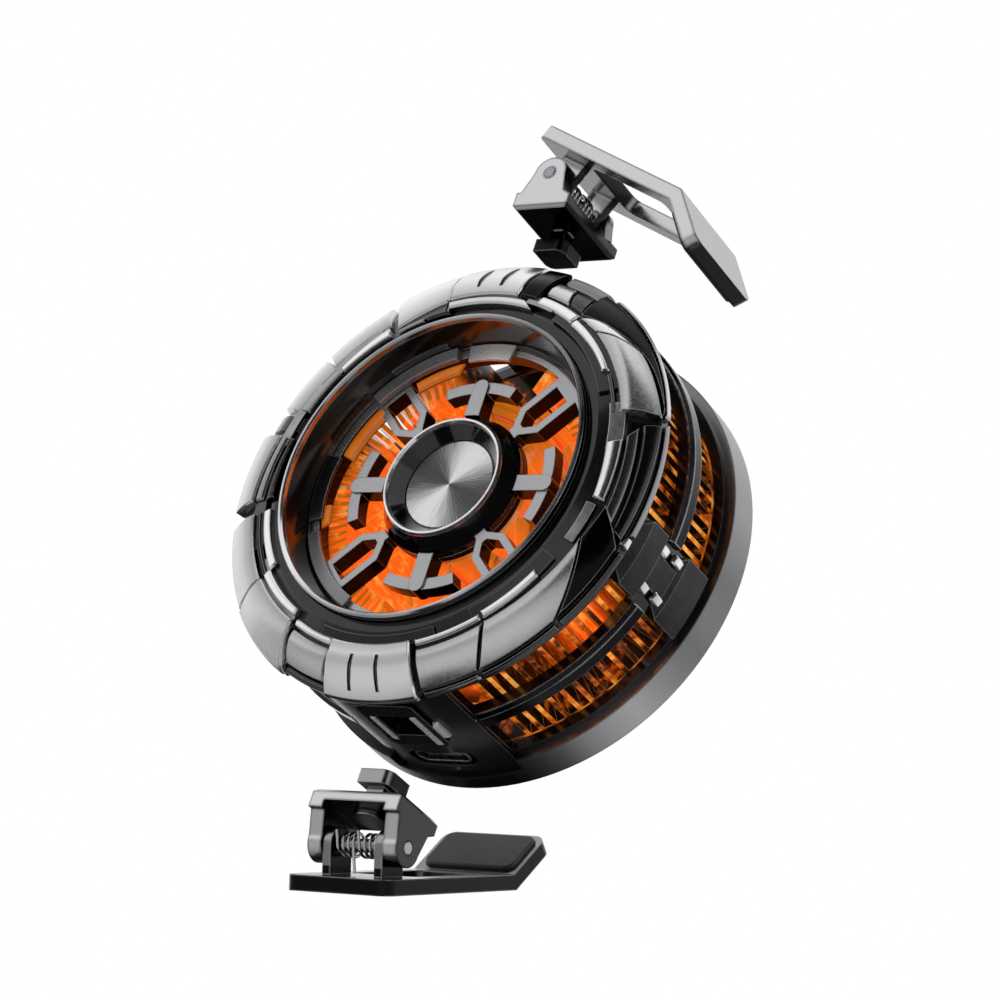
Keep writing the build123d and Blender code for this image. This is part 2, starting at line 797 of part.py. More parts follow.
winding_inner = bushing_radius + rotor_wall * 2 + slip_gap
winding_outer = stator_radius - rotor_wall - slip_gap
with BuildPart() as windings:
    for turn in range(stator_poles):
        place = radialPlane(turn * 360.0 / stator_poles)
        start = place.from_local_coords((winding_inner, -stator_rear - stator_thickness / 2, 0))
        with BuildSketch(Plane(origin=start, x_dir=place.z_dir, z_dir=place.x_dir)):
            Rectangle(stator_pole_width + coil_thickness, stator_thickness + coil_thickness)
            Rectangle(stator_pole_width, stator_thickness, mode=Mode.SUBTRACT)
        extrude(amount=winding_outer - winding_inner)
save(windings.part, "stator_windings")
shaft_rear = plate_front + slip_gap
save(ring(band(0, shaft_radius, shaft_rear, rotor_front)), "fan_shaft")
magnet_outer = rotor_radius - rotor_wall
save(ring(band(
    magnet_outer - magnet_thickness, magnet_outer,
    stator_rear, stator_rear + stator_thickness + blade_clearance,
)), "rotor_magnet")
blade_rise = rotor_depth - 2 * blade_edge
blade_run = blade_rise * math.tan(math.radians(blade_pitch))
with BuildPart() as rotor:
    add(ring([
        (shaft_radius, rotor_front - rotor_wall),
        (magnet_outer, rotor_front - rotor_wall),
        (magnet_outer, rotor_rear),
        (rotor_radius, rotor_rear),
        (rotor_radius, rotor_front - rotor_wall / 2),
        (rotor_radius - rotor_wall / 2, rotor_front),
        (shaft_radius, rotor_front),
    ]))
    for turn in range(blade_count):
        place = radialPlane(turn * 360.0 / blade_count)
        start = place.from_local_coords((magnet_outer + running_gap, -rotor_rear - rotor_depth / 2, 0))
        with BuildSketch(Plane(origin=start, x_dir=place.z_dir, z_dir=place.x_dir)):
            with BuildLine():
                rear_edge = (-blade_run / 2, blade_rise / 2)
                front_edge = (blade_run / 2, -blade_rise / 2)
                lower = ThreePointArc(rear_edge, (-blade_bow, -blade_bow), front_edge)
                upper = ThreePointArc(
                    (rear_edge[0] + blade_thickness, rear_edge[1]),
                    (blade_thickness - blade_bow, -blade_bow),
                    (front_edge[0] + blade_thickness, front_edge[1]),
                )
                Line(lower @ 0, upper @ 0)
                Line(lower @ 1, upper @ 1)
            make_face()
        extrude(amount=blade_radius - magnet_outer)
    add(ring(band(
        blade_radius, blade_radius + 4 * overrun, rotor_rear - overrun, rotor_front + overrun,
    )), mode=Mode.SUBTRACT)
save(rotor.part, "fan_rotor")

# Light board: a ring with lamps facing the fins
board_rear = grille_front - slip_gap - board_thickness
led_board_outer = dish_outer + slip_gap + led_board_width
with BuildPart() as light_board:
    add(ring(band(dish_outer + slip_gap, led_board_outer, board_rear, board_rear + board_thickness)))
save(light_board.part, "light_board")
with BuildPart() as lamps:
    with BuildSketch(frontPlane(board_rear - led_height)):
        with PolarLocations((dish_outer + led_board_outer) / 2, led_count):
            Rectangle(led_size, led_size)
    extrude(amount=led_height)
save(lamps.part, "light_chips")

# Armour: plates of several lifts along the slope of the bezel
slope_rise = shoulder_front - lip_front
slope_length = math.hypot(slope_run, slope_rise)
lift_out = slope_rise / slope_length
lift_front = slope_run / slope_length
front_fall = (collar_front - shoulder_front) / (shoulder_radius - collar_radius)


def armourProfile(lift_share, reach_share, skirt_share):
    # lift is from the slope, reach runs in over the front face, and the skirt covers the rear lip
    lift = armour_thickness * lift_share
    reach = (shoulder_radius - collar_radius) * reach_share
    skirt = bezel_lip * skirt_share
    side_out = lift * side_share
    inner = shoulder_radius - reach
    inner_front = shoulder_front + reach * front_fall
    return [
        (bezel_radius, lip_front - skirt),
        (bezel_radius + side_out, lip_front - skirt),
        (bezel_radius + lift * lift_out, lip_front + lift * lift_front),
        (shoulder_radius + lift * lift_out, shoulder_front + lift * lift_front),
        (inner, inner_front + lift),
        (inner, inner_front),
        (shoulder_radius, shoulder_front),
        (bezel_radius, lip_front),
    ]


def liftOf(edge):
    # how far an edge's middle stands off the bezel's slope
    middle = edge.position_at(0.5)
    outward = math.hypot(middle.X, middle.Z) - bezel_radius
    forward = -middle.Y - lip_front
    return outward * lift_out + forward * lift_front


def armourPlate(first, last, lift_share, reach_share, skirt_share):
    with BuildPart() as plate:
        profile = armourProfile(lift_share, reach_share, skirt_share)
        add(arcBlock(profile, first + armour_cut, last - armour_cut))
        ends = plate.edges().filter_by(GeomType.LINE)
        chamfer([edge for edge in ends if liftOf(edge) > armour_thickness * lift_share / 2], edge_bevel)
    return plate.part


for label, first, last, lift_share, reach_share, skirt_share in armour_shares:
    with BuildPart() as plate:
        add(armourPlate(first, last, lift_share, reach_share, skirt_share))
        if "badge" in label:
            for side in (-1, 1):
                middle = (first + last) / 2 + side * slit_angle
                slit_bottom = armour_thickness * lift_share * (1 - slit_share)
                slit_top = 2 * armour_thickness * lift_share
                add(arcBlock([
                    (bezel_radius, lip_front + slit_bottom), (shoulder_radius, shoulder_front + slit_bottom),
                    (shoulder_radius, shoulder_front + slit_top), (bezel_radius, lip_front + slit_top),
                ], middle - slit_half_angle, middle + slit_half_angle), mode=Mode.SUBTRACT)
    save(plate.part, label)
with BuildPart() as steps:
    for first, last, lift_share, reach_share, skirt_share in step_shares:
        add(armourPlate(first, last, lift_share, reach_share, skirt_share))
save(steps.part, "step_blocks")
for label, places in collar_shares:
    with BuildPart() as collar:
        for first, last, inner_share, outer_share, lift_share in places:
            inner = collar_radius + (shoulder_radius - collar_radius) * inner_share
            outer = collar_radius + (shoulder_radius - collar_radius) * outer_share
            inner_front = collar_front - (inner - collar_radius) * front_fall
            outer_front = collar_front - (outer - collar_radius) * front_fall
            rise = armour_thickness * lift_share
            add(arcBlock([
                (inner, inner_front), (outer, outer_front),
                (outer, outer_front + rise), (inner, inner_front + rise),
            ], first, last))
    save(collar.part, label)


# Clips. Each is drawn on a side plane through its pivot: x runs along the lever, y away from the body
coil_reach = (coil_turns * coil_pitch) / 2
ear_outer = bracket_width / 2 - cheek_thickness - slip_gap
coil_place = ear_outer - ear_thickness - seat_gap - wire_radius - coil_reach
bend = math.radians(paddle_bend)


def helixPoint(plane, turn):
    # a point of the coil and its direction, for a turn counted from the coil's middle
    angle = 2 * math.pi * turn
    place = (coil_radius * math.cos(angle), coil_radius * math.sin(angle), coil_pitch * turn)
    heading = (-coil_radius * math.sin(angle), coil_radius * math.cos(angle), coil_pitch / (2 * math.pi))
    origin = plane.from_local_coords((0, 0, 0))
    return plane.from_local_coords(place), (plane.from_local_coords(heading) - origin).normalized()


def biarcJoint(start, start_way, end, end_way):
    # the point where two arcs with the given directions at their outer ends meet smoothly
    span = end - start
    both = start_way + end_way
    square = 2 * (start_way.dot(end_way) - 1)
    linear = -2 * span.dot(both)
    reach = (-linear - math.sqrt(linear ** 2 - 4 * square * span.dot(span))) / (2 * square)
    if reach < 0:
        reach = (-linear + math.sqrt(linear ** 2 - 4 * square * span.dot(span))) / (2 * square)
    return (start + start_way * reach + end - end_way * reach) * 0.5


def torsionSpring(plane):
    # one unbroken wire: a straight leg, a coil of biarcs over quarter turns and a second leg
    first_turn = -coil_turns / 2
    with BuildPart() as spring:
        with BuildLine() as wire:
            start, way = helixPoint(plane, first_turn)
            Line(start - way * (lever_height - seat_gap), start)
            for quarter in range(coil_turns * 4):
                end, end_way = helixPoint(plane, first_turn + (quarter + 1) / 4)
                joint = biarcJoint(start, way, end, end_way)
                joint_arc = TangentArc(start, joint, tangent=way)
                TangentArc(joint, end, tangent=joint_arc % 1)
                start, way = end, end_way
            Line(start, start + way * spring_tail)
        with BuildSketch(Plane(origin=wire.line @ 0, z_dir=wire.line % 0)):
            Circle(wire_radius)
        sweep()
    return spring.part


def leastCoilGap():
    # nearest approach of two neighbouring turns, measured on points of the coil
    flat = Plane.XY
    points = [helixPoint(flat, step / 48)[0] for step in range(48 * coil_turns)]
    gaps = [
        (points[i] - points[j]).length
        for i in range(len(points)) for j in range(i + 36, len(points))
    ]
    return min(gaps) - 2 * wire_radius


print("least gap between the coils of a clip spring, mm:", round(leastCoilGap(), 3))


def makeClip(name, side):
    tilt = math.radians(lever_tilt)
    lever_way = side.x_dir * math.cos(tilt) - side.y_dir * math.sin(tilt)
    lever_plane = Plane(origin=side.origin, x_dir=lever_way, z_dir=side.z_dir)
    top = lever_height + lever_thickness
    paddle_end = (
        lever_back + paddle_length * math.cos(bend),
        lever_height - paddle_length * math.sin(bend),
    )
    paddle_edge = (
        paddle_end[0] + lever_thickness * math.sin(bend),
        paddle_end[1] + lever_thickness * math.cos(bend),
    )

    # bracket: a floor, two cheeks with round ends and the pin's holes
    floor_top = bracket_floor - pivot_height
    with BuildPart() as bracket:
        with BuildSketch(side):
            Polygon(
                (-bracket_front, -pivot_height), (bracket_back, -pivot_height),
                (bracket_back, floor_top), (-bracket_front, floor_top), align=None,
            )
        extrude(amount=bracket_width / 2, both=True)
        chamfer(bracket.faces().sort_by(Axis(side.origin, side.y_dir))[0].edges(), floor_bevel)
        for start in (-bracket_width / 2, bracket_width / 2 - cheek_thickness):
            with BuildSketch(side.offset(start)):
                Circle(cheek_radius)
                Polygon(
                    (-bracket_front, floor_top - floor_bevel), (-bracket_front, floor_top + cheek_step),
                    (cheek_shoulder - bracket_front, floor_top + cheek_step),
                    (-cheek_radius, 0), (cheek_radius, 0),
                    (cheek_radius + cheek_shoulder, floor_top + cheek_step),
                    (bracket_back, floor_top + cheek_step / 3), (bracket_back, floor_top - floor_bevel),
                    align=None,
                )
            extrude(amount=cheek_thickness)
        with BuildSketch(side):
            Circle(pin_radius + press_gap)
        extrude(amount=bracket_width, both=True, mode=Mode.SUBTRACT)
        foot_middle = side.from_local_coords((0, -pivot_height, 0))
        foot_plane = Plane(origin=foot_middle, x_dir=side.x_dir, z_dir=side.y_dir)
        with BuildSketch(foot_plane):
            Circle(swivel_radius + running_gap)
        extrude(amount=pivot_height, mode=Mode.SUBTRACT)
    save(bracket.part, f"bracket_{name}")

    # pin with chamfered ends
    with BuildPart() as pin:
        with BuildSketch(side):
            Circle(pin_radius)
        extrude(amount=bracket_width / 2 + pin_proud, both=True)
        chamfer(pin.edges().filter_by(GeomType.CIRCLE), pin_proud)
    save(pin.part, f"hinge_pin_{name}")

    # stud: a square foot, a neck and a riveted swivel through the bracket's floor
    neck_bottom = -neck_length
    with BuildPart() as stud:
        with BuildSketch(foot_plane.offset(neck_bottom - foot_thickness)):
            Rectangle(foot_size, foot_size)
        extrude(amount=foot_thickness)
        uprights = stud.edges().filter_by(Axis(side.origin, side.y_dir))
        along = Axis(side.origin, side.x_dir + side.z_dir)
        fillet([uprights.sort_by(along)[0], uprights.sort_by(along)[-1]], foot_corner)
        with BuildSketch(foot_plane.offset(neck_bottom)):
            Rectangle(neck_size, neck_size)
        extrude(amount=neck_length - running_gap)
        with BuildSketch(foot_plane.offset(-running_gap)):
            Circle(swivel_radius)
        extrude(amount=bracket_floor + 2 * running_gap)
        with BuildSketch(foot_plane.offset(bracket_floor + running_gap)):
            Circle(rivet_radius)
        extrude(amount=rivet_height)
    save(stud.part, f"stud_{name}")

    # lever: a bent plate with a long window, two ears on the pin and a pocket for the pad
    with BuildPart() as lever:
        with BuildSketch(lever_plane):
            Polygon(
                (-lever_front, lever_height), (lever_back, lever_height), paddle_end, paddle_edge,
                (lever_back + lever_thickness * math.tan(bend / 2), top), (-lever_front, top), align=None,
            )
        extrude(amount=lever_width / 2, both=True)
        front_way = Axis(side.origin, lever_plane.x_dir)
        uprights = lever.edges().filter_by(Axis(side.origin, lever_plane.y_dir))
        fillet(uprights.sort_by(front_way)[:2], lever_corner)
        paddle_way = lever_plane.from_local_coords(paddle_edge) - lever_plane.from_local_coords(paddle_end)
        uprights = lever.edges().filter_by(Axis(side.origin, paddle_way))
        fillet(uprights.sort_by(front_way)[-2:], lever_corner)
        plate_plane = Plane(
            origin=lever_plane.from_local_coords((0, lever_height, 0)),
            x_dir=lever_plane.x_dir, z_dir=lever_plane.y_dir,
        )
        rail = lever_width * rail_share
        window_end = lever_back - window_end_wall
        with BuildSketch(plate_plane):
            with Locations(((window_start + window_end) / 2, 0)):
                RectangleRounded(window_end - window_start, lever_width - 2 * rail, window_corner)
        extrude(amount=lever_thickness, mode=Mode.SUBTRACT)
        for start in (-ear_outer, ear_outer - ear_thickness):
            with BuildSketch(lever_plane.offset(start)):
                Circle(ear_radius)
                Polygon(
                    (-ear_radius, 0), (ear_radius, 0), (ear_radius, lever_height + edge_bevel),
                    (-ear_radius, lever_height + edge_bevel), align=None,
                )
            extrude(amount=ear_thickness)
        with BuildSketch(lever_plane):
            Circle(pin_radius + running_gap)
        extrude(amount=lever_width, both=True, mode=Mode.SUBTRACT)
        pad_middle = lever_plane.from_local_coords((
            (lever_back + paddle_end[0]) / 2, (lever_height + paddle_end[1]) / 2, 0,
        ))
        bend_middle = lever_plane.from_local_coords((lever_back, lever_height, 0))
        pad_way = lever_plane.from_local_coords(paddle_end) - bend_middle
        pad_plane = Plane(origin=pad_middle, x_dir=pad_way, z_dir=-paddle_way)
        with BuildSketch(pad_plane.offset(-pad_inset)):
            RectangleRounded(pad_length + running_gap, pad_width + running_gap, pad_corner)
        extrude(amount=pad_inset + overrun, mode=Mode.SUBTRACT)
    save(lever.part, f"lever_{name}")

    # rubber pad on the paddle's inner face
    with BuildPart() as pad:
        with BuildSketch(pad_plane.offset(-pad_inset)):
            RectangleRounded(pad_length - running_gap, pad_width - running_gap, pad_corner - running_gap)
        extrude(amount=pad_thickness)
        fillet(pad.faces().sort_by(Axis(pad_middle, pad_plane.z_dir))[-1].edges(), pad_round)
    save(pad.part, f"rubber_pad_{name}")

    # two torsion springs side by side on the pin
    with BuildPart() as springs:
        for place in (-coil_place, coil_place):
            add(torsionSpring(lever_plane.offset(place)))
    save(springs.part, f"springs_{name}")


# the upper clip is turned a quarter round its stud, the lower one reaches behind the cold plate
upper_side = Plane(origin=(0, -clip_depth, pivot_drawn), x_dir=(1, 0, 0), z_dir=(0, -1, 0))
lower_side = Plane(origin=(0, -clip_depth, -pivot_drawn), x_dir=(0, 1, 0), z_dir=(-1, 0, 0))
makeClip("upper", upper_side)
makeClip("lower", lower_side)
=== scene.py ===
import json
import math

import bpy
import numpy as np
from mathutils import Matrix, Vector


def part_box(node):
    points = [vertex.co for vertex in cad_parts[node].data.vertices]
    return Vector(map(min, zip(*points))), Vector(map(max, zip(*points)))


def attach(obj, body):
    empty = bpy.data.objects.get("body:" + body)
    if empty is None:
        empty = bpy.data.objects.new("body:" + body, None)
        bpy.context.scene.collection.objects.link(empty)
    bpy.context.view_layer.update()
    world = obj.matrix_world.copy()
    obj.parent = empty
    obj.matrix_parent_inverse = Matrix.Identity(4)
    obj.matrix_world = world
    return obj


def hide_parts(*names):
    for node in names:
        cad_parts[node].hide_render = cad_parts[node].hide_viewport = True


# Clip-on phone cooler seen from below its right side, both clips drawn out of their sockets.
# The scene is in metres; the fan faces -Y and the cold plate faces +Y. Tables are in millimetres,
# and their angles go round the fan's axis from +X towards +Z.

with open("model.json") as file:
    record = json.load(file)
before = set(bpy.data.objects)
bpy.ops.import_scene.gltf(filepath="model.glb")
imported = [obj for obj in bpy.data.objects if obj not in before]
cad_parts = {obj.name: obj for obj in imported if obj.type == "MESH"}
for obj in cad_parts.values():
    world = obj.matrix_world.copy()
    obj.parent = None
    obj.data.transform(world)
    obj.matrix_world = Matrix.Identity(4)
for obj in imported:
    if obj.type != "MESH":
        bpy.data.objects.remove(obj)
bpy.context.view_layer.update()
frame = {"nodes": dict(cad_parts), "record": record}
print("frame loaded:", len(frame["nodes"]), "nodes")

mm = 0.001


# Colour and node helpers

def linear(hexColour, alpha=1.0):
    channels = [int(hexColour[i:i + 2], 16) / 255 for i in (1, 3, 5)]
    curve = [c / 12.92 if c <= 0.04045 else ((c + 0.055) / 1.055) ** 2.4 for c in channels]
    return (*curve, alpha)


def addNode(tree, kind, inputs=None, **settings):
    # one node with its settings; an input is either linked from a socket or given a value
    node = tree.nodes.new(kind)
    for key, value in settings.items():
        setattr(node, key, value)
    for key, value in (inputs or {}).items():
        if isinstance(value, bpy.types.NodeSocket):
            tree.links.new(value, node.inputs[key])
        else:
            node.inputs[key].default_value = value
    return node


def newMaterial(name):
    material = bpy.data.materials.new(name)
    material.use_nodes = True
    tree = material.node_tree
    tree.nodes.clear()
    return material, tree, addNode(tree, "ShaderNodeOutputMaterial").inputs["Surface"]


def turnAbout(tree, place):
    # the angle about the fan's axis in turns, 0 to 1 from -180 degrees
    parts = addNode(tree, "ShaderNodeSeparateXYZ", {0: place}).outputs
    angle = addNode(
        tree, "ShaderNodeMath", {0: parts["Z"], 1: parts["X"]}, operation="ARCTAN2",
    ).outputs[0]
    return addNode(
        tree, "ShaderNodeMapRange", {"Value": angle, "From Min": -math.pi, "From Max": math.pi},
    ).outputs["Result"]


def acrossAxis(tree, place):
    # the place with its part along the fan's axis dropped
    return addNode(
        tree, "ShaderNodeVectorMath", {0: place, 1: (1, 0, 1)}, operation="MULTIPLY",
    ).outputs[0]


def radiusFrom(tree, place):
    # the distance from the fan's axis
    return addNode(
        tree, "ShaderNodeVectorMath", {0: acrossAxis(tree, place)}, operation="LENGTH",
    ).outputs["Value"]


# Patterns: each gives a factor from 0 to 1 that picks the colour between the finish's stops.
# Sizes in their tables are in millimetres.

def mottled(tree, place, settings):
    # soft clouds, as plating and moulding vary over a few millimetres
    return addNode(
        tree, "ShaderNodeTexNoise",
        {"Vector": place, "Scale": 1 / (settings["mottle"] * mm), "Detail": 3.0, "Roughness": 0.55},
    ).outputs["Fac"]


def swept(tree, place, settings):
    # painted light and shade once round the axis, as a turned ring catches the light in bands
    return turnAbout(tree, place)


# width of a turned ring
facing = {"feed": 0.5}


def faceTurned(tree, place, settings):
    # rings left by facing on a lathe: noise that changes with the radius and hardly round the axis.
    # A real feed is finer, so the rings are drawn as coarse as they need to show.
    rings = addNode(tree, "ShaderNodeCombineXYZ", {
        "X": addNode(
            tree, "ShaderNodeMath", {0: radiusFrom(tree, place), 1: 1 / (facing["feed"] * mm)},
            operation="MULTIPLY",
        ).outputs[0],
        "Y": turnAbout(tree, place),
    }).outputs[0]
    return addNode(
        tree, "ShaderNodeTexNoise", {"Vector": rings, "Scale": 1.0, "Detail": 3.0},
    ).outputs["Fac"]


# radius that parts the hub ring from the wide rim
rimming = {"hubRing": 15.0}


def rimmed(tree, place, settings):
    # painted light and shade once round the axis for the wide rim, and the brightest stop all round
    # for the small hub ring
    small = addNode(
        tree, "ShaderNodeMath", {0: radiusFrom(tree, place), 1: rimming["hubRing"] * mm},
        operation="LESS_THAN",
    ).outputs[0]
    return addNode(
        tree, "ShaderNodeMix", {0: small, 2: turnAbout(tree, place), 3: settings["brightest"]},
    ).outputs[0]


# lines and scale give 570 noise cells in a turn, about 0.1 mm wide at the cap's edge, coarser than
# real brushing so that they show. length is how far a line keeps its tone. swing and middle set
# how far the painted light lobes reach through the stops.
brushing = {"lines": 380.0, "length": 8.333, "scale": 1.5, "swing": 0.32, "middle": 0.16}


def brushed(tree, place, settings):
    # radial brushing: two painted light lobes across the disc, broken by fine radial lines
    turn = turnAbout(tree, place)
    radius = radiusFrom(tree, place)
    streak = addNode(tree, "ShaderNodeCombineXYZ", {
        "X": addNode(
            tree, "ShaderNodeMath", {0: turn, 1: brushing["lines"]}, operation="MULTIPLY",
        ).outputs[0],
        "Y": addNode(
            tree, "ShaderNodeMath", {0: radius, 1: 1 / (brushing["length"] * mm)},
            operation="MULTIPLY",
        ).outputs[0],
    }).outputs[0]
    lines = addNode(
        tree, "ShaderNodeTexNoise", {"Vector": streak, "Scale": brushing["scale"], "Detail": 4.0},
    ).outputs["Fac"]
    twice = addNode(
        tree, "ShaderNodeMath",
        {0: turn, 1: 4 * math.pi, 2: -math.radians(2 * settings["lobe"])}, operation="MULTIPLY_ADD",
    ).outputs[0]
    lobe = addNode(tree, "ShaderNodeMath", {0: twice}, operation="COSINE").outputs[0]
    lobe = addNode(
        tree, "ShaderNodeMath", {0: lobe, 1: brushing["swing"], 2: brushing["middle"]},
        operation="MULTIPLY_ADD",
    ).outputs[0]
    return addNode(tree, "ShaderNodeMath", {0: lobe, 1: lines}, operation="ADD").outputs[0]


# lead is how far out the spiral runs in a full turn, streaks are noise cells in a turn and width is
# that of one streak
swirl = {"lead": 71.43, "streaks": 7.0, "width": 1.111}


def swirled(tree, place, settings):
    # painted highlight streaks that run out along a spiral, as light does in a clear moulded blade
    radius = radiusFrom(tree, place)
    spiral = addNode(
        tree, "ShaderNodeMath",
        {0: radius, 1: 1 / (swirl["lead"] * mm), 2: turnAbout(tree, place)},
        operation="MULTIPLY_ADD",
    ).outputs[0]
    streak = addNode(tree, "ShaderNodeCombineXYZ", {
        "X": addNode(
            tree, "ShaderNodeMath", {0: spiral, 1: swirl["streaks"]}, operation="MULTIPLY",
        ).outputs[0],
        "Y": addNode(
            tree, "ShaderNodeMath", {0: radius, 1: 1 / (swirl["width"] * mm)},
            operation="MULTIPLY",
        ).outputs[0],
    }).outputs[0]
    return addNode(
        tree, "ShaderNodeTexNoise", {"Vector": streak, "Scale": 1.0, "Detail": 3.0},
    ).outputs["Fac"]


# edge is the least cosine between a face and the outward direction that counts as an edge. A span
# is (from, to) of the noise or the radius, and its range is what it becomes. patch and glint are
# the sizes of the patches that break up the painted edge highlight and of the painted light that
# gets between the fins.
fins = {
    "edge": 0.8,
    "patch": 3.4, "patchSpan": (0.42, 0.62), "patchRange": (0.16, 1.0),
    "innerSpan": (21.0, 25.0), "innerRange": (0.62, 0.0),
    "glint": 2.2, "glintSpan": (0.5, 0.68), "glintRange": (0.0, 0.4),
}


def finned(tree, place, settings):
    # painted light: 1 on the fins' outer edges as a painted highlight broken in patches, low on
    # their flanks near the outside, and a painted glow middling towards the fan
    normal = addNode(tree, "ShaderNodeTexCoord").outputs["Normal"]
    outward = addNode(
        tree, "ShaderNodeVectorMath", {0: acrossAxis(tree, place)}, operation="NORMALIZE",
    ).outputs[0]
    square = addNode(
        tree, "ShaderNodeVectorMath", {0: outward, 1: normal}, operation="DOT_PRODUCT",
    ).outputs["Value"]
    edge = addNode(
        tree, "ShaderNodeMath", {0: square, 1: fins["edge"]}, operation="GREATER_THAN",
    ).outputs[0]
    patch = addNode(
        tree, "ShaderNodeTexNoise",
        {"Vector": place, "Scale": 1 / (fins["patch"] * mm), "Detail": 3.0},
    ).outputs["Fac"]
    glint = addNode(
        tree, "ShaderNodeTexNoise",
        {"Vector": place, "Scale": 1 / (fins["glint"] * mm), "Detail": 2.0},
    ).outputs["Fac"]
    radius = addNode(
        tree, "ShaderNodeMath", {0: radiusFrom(tree, place), 1: 1 / mm}, operation="MULTIPLY",
    ).outputs[0]
    parts = {}
    for name, value in (("patch", patch), ("inner", radius), ("glint", glint)):
        low, high = fins[name + "Span"]
        start, end = fins[name + "Range"]
        parts[name] = addNode(
            tree, "ShaderNodeMapRange",
            {"Value": value, "From Min": low, "From Max": high, "To Min": start, "To Max": end},
        ).outputs["Result"]
    # the painted edge highlight, broken in patches
    edge = addNode(
        tree, "ShaderNodeMath", {0: edge, 1: parts["patch"]}, operation="MULTIPLY",
    ).outputs[0]
    # painted glow towards the fan plus painted light between the fins
    flank = addNode(
        tree, "ShaderNodeMath", {0: parts["inner"], 1: parts["glint"]}, operation="ADD",
    ).outputs[0]
    return addNode(tree, "ShaderNodeMath", {0: flank, 1: edge}, operation="MAXIMUM").outputs[0]


# depth below the grille's front that still counts as its face, and the most that its normal's Y
# may be
grilleFace = {"depth": 0.35, "normal": -0.7}


def faced(tree, place, settings):
    # 1 on flat faces that look forward at the grille's full height, 0 on its moulded sides
    depth = addNode(tree, "ShaderNodeSeparateXYZ", {0: place}).outputs["Y"]
    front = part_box("front_grille")[0].y + grilleFace["depth"] * mm
    forward = addNode(
        tree, "ShaderNodeMath", {0: depth, 1: front}, operation="LESS_THAN",
    ).outputs[0]
    normal = addNode(tree, "ShaderNodeTexCoord").outputs["Normal"]
    along = addNode(tree, "ShaderNodeSeparateXYZ", {0: normal}).outputs["Y"]
    looks = addNode(
        tree, "ShaderNodeMath", {0: along, 1: grilleFace["normal"]}, operation="LESS_THAN",
    ).outputs[0]
    return addNode(tree, "ShaderNodeMath", {0: forward, 1: looks}, operation="MULTIPLY").outputs[0]


# painted light: how far up the stops a face gets by looking sideways, upwards and forward
facingLight = {"side": 0.34, "top": 0.62, "front": 1.0, "frontOutside": 0.5}


def directed(tree, place, settings):
    # painted light towards the front and the top, painted shade on the sides and below; the front
    # is only half as bright outside a stretch of Z, which keeps the lower lever's long edge in
    # painted shade
    normal = addNode(tree, "ShaderNodeTexCoord").outputs["Normal"]
    parts = addNode(tree, "ShaderNodeSeparateXYZ", {0: normal}).outputs
    side = addNode(tree, "ShaderNodeMath", {0: parts["X"]}, operation="ABSOLUTE").outputs[0]
    total = addNode(
        tree, "ShaderNodeMath", {0: side, 1: facingLight["side"]}, operation="MULTIPLY",
    ).outputs[0]
    low, high = settings["lightFrom"] * mm, settings["lightTo"] * mm
    height = addNode(tree, "ShaderNodeSeparateXYZ", {0: place}).outputs["Z"]
    light = addNode(
        tree, "ShaderNodeMath", {0: height, 1: (low + high) / 2, 2: (high - low) / 2},
        operation="COMPARE",
    ).outputs[0]
    front = addNode(
        tree, "ShaderNodeMapRange",
        {"Value": light, "To Min": facingLight["frontOutside"], "To Max": facingLight["front"]},
    ).outputs["Result"]
    for axis, sign, share in (("Y", -1.0, front), ("Z", 1.0, facingLight["top"])):
        part = addNode(
            tree, "ShaderNodeMath", {0: parts[axis], 1: sign}, operation="MULTIPLY",
        ).outputs[0]
        part = addNode(tree, "ShaderNodeMath", {0: part, 1: 0.0}, operation="MAXIMUM").outputs[0]
        total = addNode(
            tree, "ShaderNodeMath", {0: part, 1: share, 2: total}, operation="MULTIPLY_ADD",
        ).outputs[0]
    return total


# what a finish has unless it says otherwise; edge and mottle are in millimetres. The edge colour,
# light unless a finish says otherwise, is wear and a painted highlight along the edges
plainFinish = dict(
    pattern=mottled, mottle=6.0, metal=0.0, wearAndEdgeLight=0.5, edge=0.2, edgeColour="#d0d0d2",
    coat=0.0, bump=0.03, lay=0.0, lit=0.0, shade=False,
)
# the first entry is the cosine between the rounded and the flat normal where the wear and painted
# edge light start and where they are full.
# grain and its bump are in millimetres; a real grain is finer, so it is drawn to show close up.
texture = {
    "edgeWearAndLight": (0.995, 0.86), "edgeSamples": 4, "grain": 0.5, "grainSpan": (0.3, 0.7),
    "bumpHeight": 0.03, "coatRough": 0.05,
}


